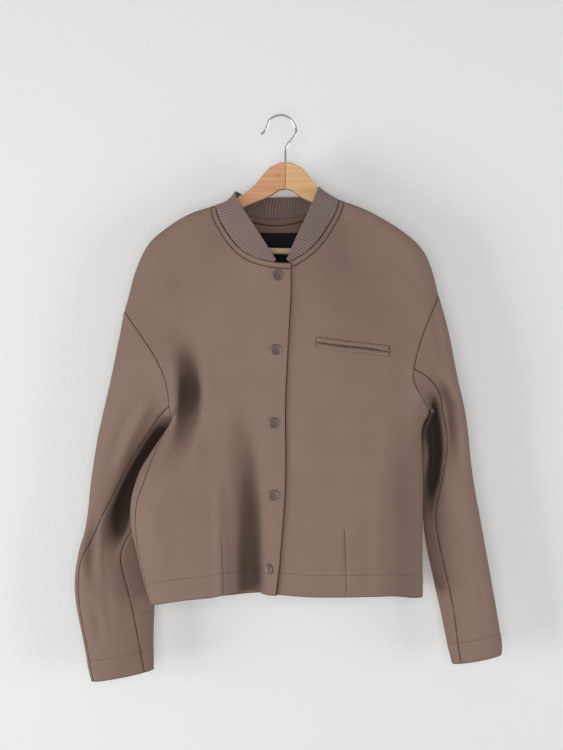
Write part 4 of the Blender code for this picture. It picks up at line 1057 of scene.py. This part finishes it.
def makeCollar():
    grid = skinGrid("collar", 3, 2 * collar["ribs"] + 1, middleOf("collar"))[:, ::2]
    count = collar["ribs"] * collar["perRib"] + 1
    base = smoothed(resampled(grid[2], count), collar["edgeRounds"])
    even = smoothed(resampled(grid[0], count), collar["edgeRounds"])
    shares = [[nearestShare(line, spot) for line, spot in zip((base, even), pair)] for pair in ribLean]
    shares = np.array(sorted([[0, 0], *shares, [0.5, 0.5], [1, 1]]))
    top = atShares(even, np.interp(np.linspace(0, 1, count), shares[:, 0], shares[:, 1]))
    top = smoothed(top, collar["leanRounds"])
    along = unit(np.gradient(base + top, axis=0))
    rise = top - base
    face = unit(np.cross(along, rise))
    centre = (base + top).mean(axis=0) / 2
    if (face * (top - centre)).sum() < 0:
        face = -face
    phase = np.arange(count) / collar["perRib"]
    rib = np.abs(np.sin(np.pi * phase)) ** collar["ribPower"]
    half = collar["thickness"] / 2
    core = half - collar["ribHeight"] * (1 - rib) * collar["ribShare"]
    low, high = base - face * half, top - face * half
    shares = np.linspace(0, 1, collar["sideRows"])
    fold = np.linspace(0, np.pi, collar["foldRows"] + 2)[1:-1]
    up = unit(rise)
    rows = [low + (high - low) * share + face * core[:, None] for share in shares]
    rows += [high + (face * np.cos(turn) + up * np.sin(turn)) * core[:, None] for turn in fold]
    rows += [low + (high - low) * share - face * core[:, None] for share in shares[::-1]]
    rows.append(rows[0])
    made = gridObject("ribbedCollar", np.array(rows), [taupeRib], capped=True, closed=True)
    # the distance from the grooves between the ribs, where the rib's colour is darkened as painted shade
    hollow = treeOf(np.concatenate([row[::collar["perRib"]] for row in rows[:-1]]))
    addAttribute(made.data, "ribHollow", np.array([hollow.find(vert.co)[2] for vert in made.data.vertices]))
    return mount(made, "rib", "collar"), low, face


collarPiece, collarLow, collarFace = makeCollar()
print("collar made:", len(collarPiece.data.polygons), "faces")


# the tape over the neck seam, inside the back
tape = dict(
    width=0.0085, lift=0.0009, swell=3, sink=0.0002, inward=0.002, thickness=0.0008, rows=7, step=6,
    ends=(0.235, 0.765),
)


def innerTree(*names):
    bm = bmesh.new()
    for name in names:
        bm.from_mesh(clothPieces[name].data)
    tree = BVHTree.FromBMesh(bm)
    bm.free()
    return tree


def makeTape():
    count = len(collarLow)
    picked = slice(*[int(count * share) for share in tape["ends"]], tape["step"])
    edge = collarLow[picked] - collarFace[picked] * collar["thickness"] * 0.5
    tree = innerTree("backPanel")
    outer = []
    for share in np.linspace(0, 1, tape["rows"]):
        row = []
        for place, face in zip(edge, collarFace[picked]):
            wanted = Vector(place) + Vector((0, 0, -1)) * tape["width"] * share
            hit = tree.find_nearest(wanted - Vector(face) * tape["inward"])[0]
            swell = tape["lift"] * (1 - abs(2 * share - 1) ** tape["swell"])
            row.append(hit - Vector(face) * (tape["sink"] + swell))
        outer.append(row)
    made = gridObject("neckTape", np.array(outer), [plainKnit])
    thicken(made, tape["thickness"], 0)
    return mount(made, "cloth")


tapePiece = makeTape()
print("neck tape made")


# the blank label
labelLook = dict(
    colour=(0.012, 0.012, 0.017), stitchShadeColour=(0.005, 0.005, 0.006), roughness=0.62, sheen=0.1, wale=2600.0,
    course=1800.0, mottle=0.2, knitBump=0.25, lineBump=0.5, lines=(), hollow=0,
)
label = dict(rows=6, columns=9, levels=3, thickness=0.0006)
labelBlack = clothMaterial("labelBlack", labelLook)


def makeLabel():
    # its skin is the one that faces the front, away from a middle well behind it
    grid = skinGrid("neck_label", label["rows"], label["columns"], middleOf("neck_label") + behind)
    made = gridObject("neckLabel", grid, [labelBlack])
    smooth = made.modifiers.new("smooth", "SUBSURF")
    smooth.levels = smooth.render_levels = label["levels"]
    smooth.boundary_smooth = "PRESERVE_CORNERS"
    thicken(made, label["thickness"], -1)
    return mount(made, "label", "neck_label")


labelPiece = makeLabel()
print("label made")


# the snaps: a cap's section in millimetres from its axis and up from its base
snap = dict(
    section=((0, 1.3), (3.2, 1.3), (5.6, 1.34), (6.3, 1.42), (6.7, 1.62), (7.1, 1.72), (7.6, 1.6), (8.1, 1.2),
             (8.35, 0.7), (8.4, 0.1), (8.1, -0.5)),
    steps=48, sharp=40,
)
snapLook = dict(colour=(0.34, 0.27, 0.235), shade=(0.2, 0.15, 0.13), roughness=0.42, spread=0.12, scale=160.0)


def metalMaterial(name, look):
    made, tree, shader = newMaterial(name)
    worn = noiseNode(tree, objectSpot(tree), look["scale"], 3.0)
    setSockets(tree, shader, {
        "Base Color": mixColour(tree, worn, (*look["colour"], 1), (*look["shade"], 1)), "Metallic": 1.0,
        "Roughness": mathNode(tree, "MULTIPLY_ADD", worn, look["spread"], look["roughness"]),
    })
    return made


snapMetal = metalMaterial("snapMetal", snapLook)


def snapAxis(name):
    # the middle of a snap's base, and its direction out of the cloth
    points = np.array([nodes[name].matrix_world @ vert.co for vert in nodes[name].data.vertices])
    middle = points.mean(axis=0)
    axis = np.linalg.eigh(np.cov((points - middle).T))[1][:, 0]
    if axis[1] > 0:
        axis = -axis
    height = (points - middle) @ axis
    return middle + axis * height.min(), axis


def makeSnap(index):
    node = f"snap_{index}"
    place, axis = snapAxis(node)
    bm = bmesh.new()
    verts = [bm.verts.new((r * millimetre, 0, h * millimetre)) for r, h in snap["section"]]
    edges = [bm.edges.new(pair) for pair in zip(verts, verts[1:])]
    bmesh.ops.spin(
        bm, geom=verts + edges, cent=(0, 0, 0), axis=(0, 0, 1), angle=2 * math.pi, steps=snap["steps"],
        use_merge=True,
    )
    bmesh.ops.remove_doubles(bm, verts=bm.verts, dist=weldReach)
    bmesh.ops.holes_fill(bm, edges=[edge for edge in bm.edges if edge.is_boundary], sides=0)
    bmesh.ops.recalc_face_normals(bm, faces=bm.faces)
    smoothFaces(bm)
    turn = Vector(axis).to_track_quat("Z", "Y").to_matrix().to_4x4()
    bm.transform(Matrix.Translation(place) @ turn)
    made = newObject(f"snap{index}", bm, [snapMetal])
    made.data.set_sharp_from_angle(angle=math.radians(snap["sharp"]))
    return mount(made, "snap_metal", node)


for index in range(1, 6):
    makeSnap(index)
print("snaps made")


# the pocket's two welts
welt = dict(
    solidColumns=11, columns=81, rows=11, height=0.0019, power=2.6, sink=0.0005, thickness=0.0008,
    endLines=(0.022, 0.978), endWidth=0.006, endDip=0.55, tipRise=40, tipStart=0.2,
)


def makeWelt(name, node):
    grid = skinGrid(node, 2, welt["solidColumns"], middleOf(node) + behind)
    upper = resampled(grid[0], welt["columns"])
    lower = resampled(grid[1], welt["columns"])
    tree = innerTree("frontLeft")
    rows = []
    for v in np.linspace(0, 1, welt["rows"]):
        row = []
        for u, a, b in zip(np.linspace(0, 1, welt["columns"]), upper, lower):
            hit = tree.find_nearest(Vector(a + (b - a) * v))[0]
            rise = (1 - abs(2 * v - 1) ** welt["power"]) ** 0.5
            ends = sum(math.exp(-((u - place) / welt["endWidth"]) ** 2) for place in welt["endLines"])
            tip = min(1, welt["tipRise"] * min(u, 1 - u) + welt["tipStart"])
            rise *= (1 - welt["endDip"] * ends) * tip
            row.append(hit + Vector((0, -1, 0)) * (welt["height"] * rise - welt["sink"] * (1 - rise)))
        rows.append(row)
    made = gridObject(name, np.array(rows), [plainKnit])
    thicken(made, welt["thickness"], -1)
    return mount(made, "cloth", node)


welts = {"pocketWeltUpper": "pocket_welt_upper", "pocketWeltLower": "pocket_welt_lower"}
weltPieces = [makeWelt(name, node) for name, node in welts.items()]
print("welts made")


# the hanger: two wooden halves, a rod and a wire hook
hanger = dict(tilt=1.2, merge=1e-6, flat=2, sharpFrom=15, edgeRound=0.0007, edgeSteps=3, sharp=40)
rod = dict(radius=0.005, sides=48, lengthShare=0.998)
# the grain's scale along the axes, how much the grain and a knot darken the wood, and the finish
wood = dict(
    grainScale=(9, 60, 150), grainShare=1.5, knotShare=0.9, paleFrom=0.55, bump=0.15, depth=0.0004,
    roughness=0.38, coat=0.2,
)


def woodGroup():
    # long grain along the arm, with a knot
    group, given, end = newGroup(
        "softWood",
        [("Colour", "Color", (0.6, 0.4, 0.2, 1)), ("Dark", "Color", (0.4, 0.2, 0.1, 1)),
         ("Knot", "Vector", (0, 0, 0)), ("KnotSize", "Float", 0.004)],
        [("Colour", "Color"), ("Height", "Float")],
    )
    spot = objectSpot(group)
    stretch = newNode(group, "ShaderNodeMapping", Vector=spot, Scale=wood["grainScale"])
    grain = noiseNode(group, stretch.outputs["Vector"], 1.0, 4.0)
    away = group.nodes.new("ShaderNodeVectorMath")
    away.operation = "DISTANCE"
    setSockets(group, away, {0: spot, 1: given["Knot"]})
    share = mathNode(group, "DIVIDE", away.outputs["Value"], given["KnotSize"])
    knot = mathNode(group, "SUBTRACT", 1.0, mathNode(group, "MINIMUM", share, 1.0))
    knots = mathNode(group, "MULTIPLY", knot, wood["knotShare"])
    rings = mathNode(group, "MULTIPLY_ADD", grain, wood["grainShare"], knots)
    dark = newNode(group, "ShaderNodeClamp", Value=mathNode(group, "SUBTRACT", rings, wood["paleFrom"]))
    mixed = mixColour(group, dark.outputs[0], given["Colour"], given["Dark"])
    setSockets(group, end, dict(Colour=mixed, Height=grain))
    return group


softWood = woodGroup()
woodLooks = {
    "warmWood": dict(
        colour=(0.66, 0.34, 0.19), dark=(0.4, 0.18, 0.09), knot=(-0.006, -0.006, -0.096), size=0.0035,
    ),
    # a knot this far off doesn't show
    "paleWood": dict(colour=(0.71, 0.44, 0.22), dark=(0.52, 0.28, 0.12), knot=(0.3, 0, 0), size=0.003),
    "rodWood": dict(colour=(0.78, 0.57, 0.37), dark=(0.6, 0.38, 0.2), knot=(0.3, 0, 0), size=0.003),
}


def woodMaterial(name):
    look = woodLooks[name]
    made, tree, shader = newMaterial(name)
    grained = groupNode(
        tree, softWood, Colour=(*look["colour"], 1), Dark=(*look["dark"], 1), Knot=look["knot"],
        KnotSize=look["size"],
    ).outputs
    setSockets(tree, shader, {
        "Base Color": grained["Colour"], "Roughness": wood["roughness"], "Coat Weight": wood["coat"],
        "Normal": bumpNode(tree, grained["Height"], wood["bump"], wood["depth"]),
    })
    return made


warmWood, paleWood, rodWood = (woodMaterial(name) for name in woodLooks)


def makeArm(name, node, material):
    # the solid itself, with its edges rounded
    bm = bmesh.new()
    bm.from_mesh(nodes[node].data)
    bmesh.ops.remove_doubles(bm, verts=bm.verts, dist=hanger["merge"])
    bmesh.ops.dissolve_limit(bm, angle_limit=math.radians(hanger["flat"]), verts=bm.verts, edges=bm.edges)
    least = math.radians(hanger["sharpFrom"])
    sharp = [edge for edge in bm.edges if len(edge.link_faces) == 2 and edge.calc_face_angle() > least]
    bevelEdges(bm, sharp, hanger["edgeRound"], hanger["edgeSteps"])
    smoothFaces(bm)
    made = newObject(name, bm, [material])
    made.data.set_sharp_from_angle(angle=math.radians(hanger["sharp"]))
    return mount(made, "wood_warm" if material is warmWood else "wood_pale", node)


def makeRod():
    low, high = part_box("hanger_bar")
    length = (high.x - low.x) / math.cos(math.radians(hanger["tilt"])) * rod["lengthShare"]
    bm = bmesh.new()
    bmesh.ops.create_cone(
        bm, cap_ends=True, segments=rod["sides"], radius1=rod["radius"], radius2=rod["radius"], depth=length,
    )
    turn = Matrix.Rotation(math.radians(90 + hanger["tilt"]), 4, "Y")
    bm.transform(Matrix.Translation((low + high) / 2) @ turn)
    for face in bm.faces:
        face.smooth = len(face.verts) == 4
    return mount(newObject("hangerRod", bm, [rodWood]), "wood_pale", "hanger_bar")


# the wire's centre line in millimetres, to the left and down from the seat
hook = dict(
    spots=((-33, 28.5), (-27.5, 24.5), (-23, 14), (-19, 5.5), (-11, 0.2), (0, -1.9), (11, 1.8), (19, 11),
           (22.9, 20), (22, 29), (16.5, 36.6), (9.5, 45), (6.3, 53), (6, 60), (6, 73)),
    radius=0.0019, samples=260, around=20, tip=(0.85, 0.6, 0.25),
)
chromeLook = dict(
    colour=(0.86, 0.86, 0.87), shade=(0.72, 0.72, 0.74), roughness=0.06, spread=0.12, scale=60.0,
)
chrome = metalMaterial("chrome", chromeLook)


def curveThrough(spots, count):
    # a smooth line through the spots, by a Hermite span between each pair
    spots = np.array(spots, float)
    chords = np.concatenate([[0], np.cumsum(np.linalg.norm(np.diff(spots, axis=0), axis=1))])
    slopes = np.gradient(spots, chords, axis=0)
    wanted = np.linspace(0, chords[-1], count)
    index = np.clip(np.searchsorted(chords, wanted, side="right") - 1, 0, len(spots) - 2)
    span = (chords[index + 1] - chords[index])[:, None]
    t = ((wanted - chords[index])[:, None]) / span
    a, b, s, e = spots[index], spots[index + 1], slopes[index], slopes[index + 1]
    bent = t * (1 - t) ** 2 * span * s + t * t * (t - 1) * span * e
    return (1 + 2 * t) * (1 - t) ** 2 * a + t * t * (3 - 2 * t) * b + bent


def makeHook():
    flat = curveThrough(hook["spots"], hook["samples"]) * millimetre
    line = np.stack([flat[:, 0], np.zeros(len(flat)), -flat[:, 1]], axis=1)
    along = unit(np.gradient(line, axis=0))
    side = np.array([0.0, 1.0, 0.0])
    other = np.cross(along, side)
    turns = np.linspace(0, 2 * np.pi, hook["around"] + 1)
    points = np.array([line + (other * math.cos(a) + side * math.sin(a)) * hook["radius"] for a in turns])
    # rings that close the tip, at shares of the radius beyond it
    caps = []
    for share in hook["tip"]:
        ring = line[0] - along[0] * hook["radius"] * share
        caps.append(ring + (points[:, 0] - line[0]) * math.sqrt(1 - share * share))
    points = np.concatenate([np.array(caps).transpose(1, 0, 2), points], axis=1)
    made = gridObject("hangerHook", points, [chrome], capped=True, closed=True)
    return mount(made, "hook_wire", "hanger_hook")


armRight = makeArm("hangerArmRight", "hanger_arm_right", warmWood)
armLeft = makeArm("hangerArmLeft", "hanger_arm_left", paleWood)
makeRod()
makeHook()
print("hanger made")
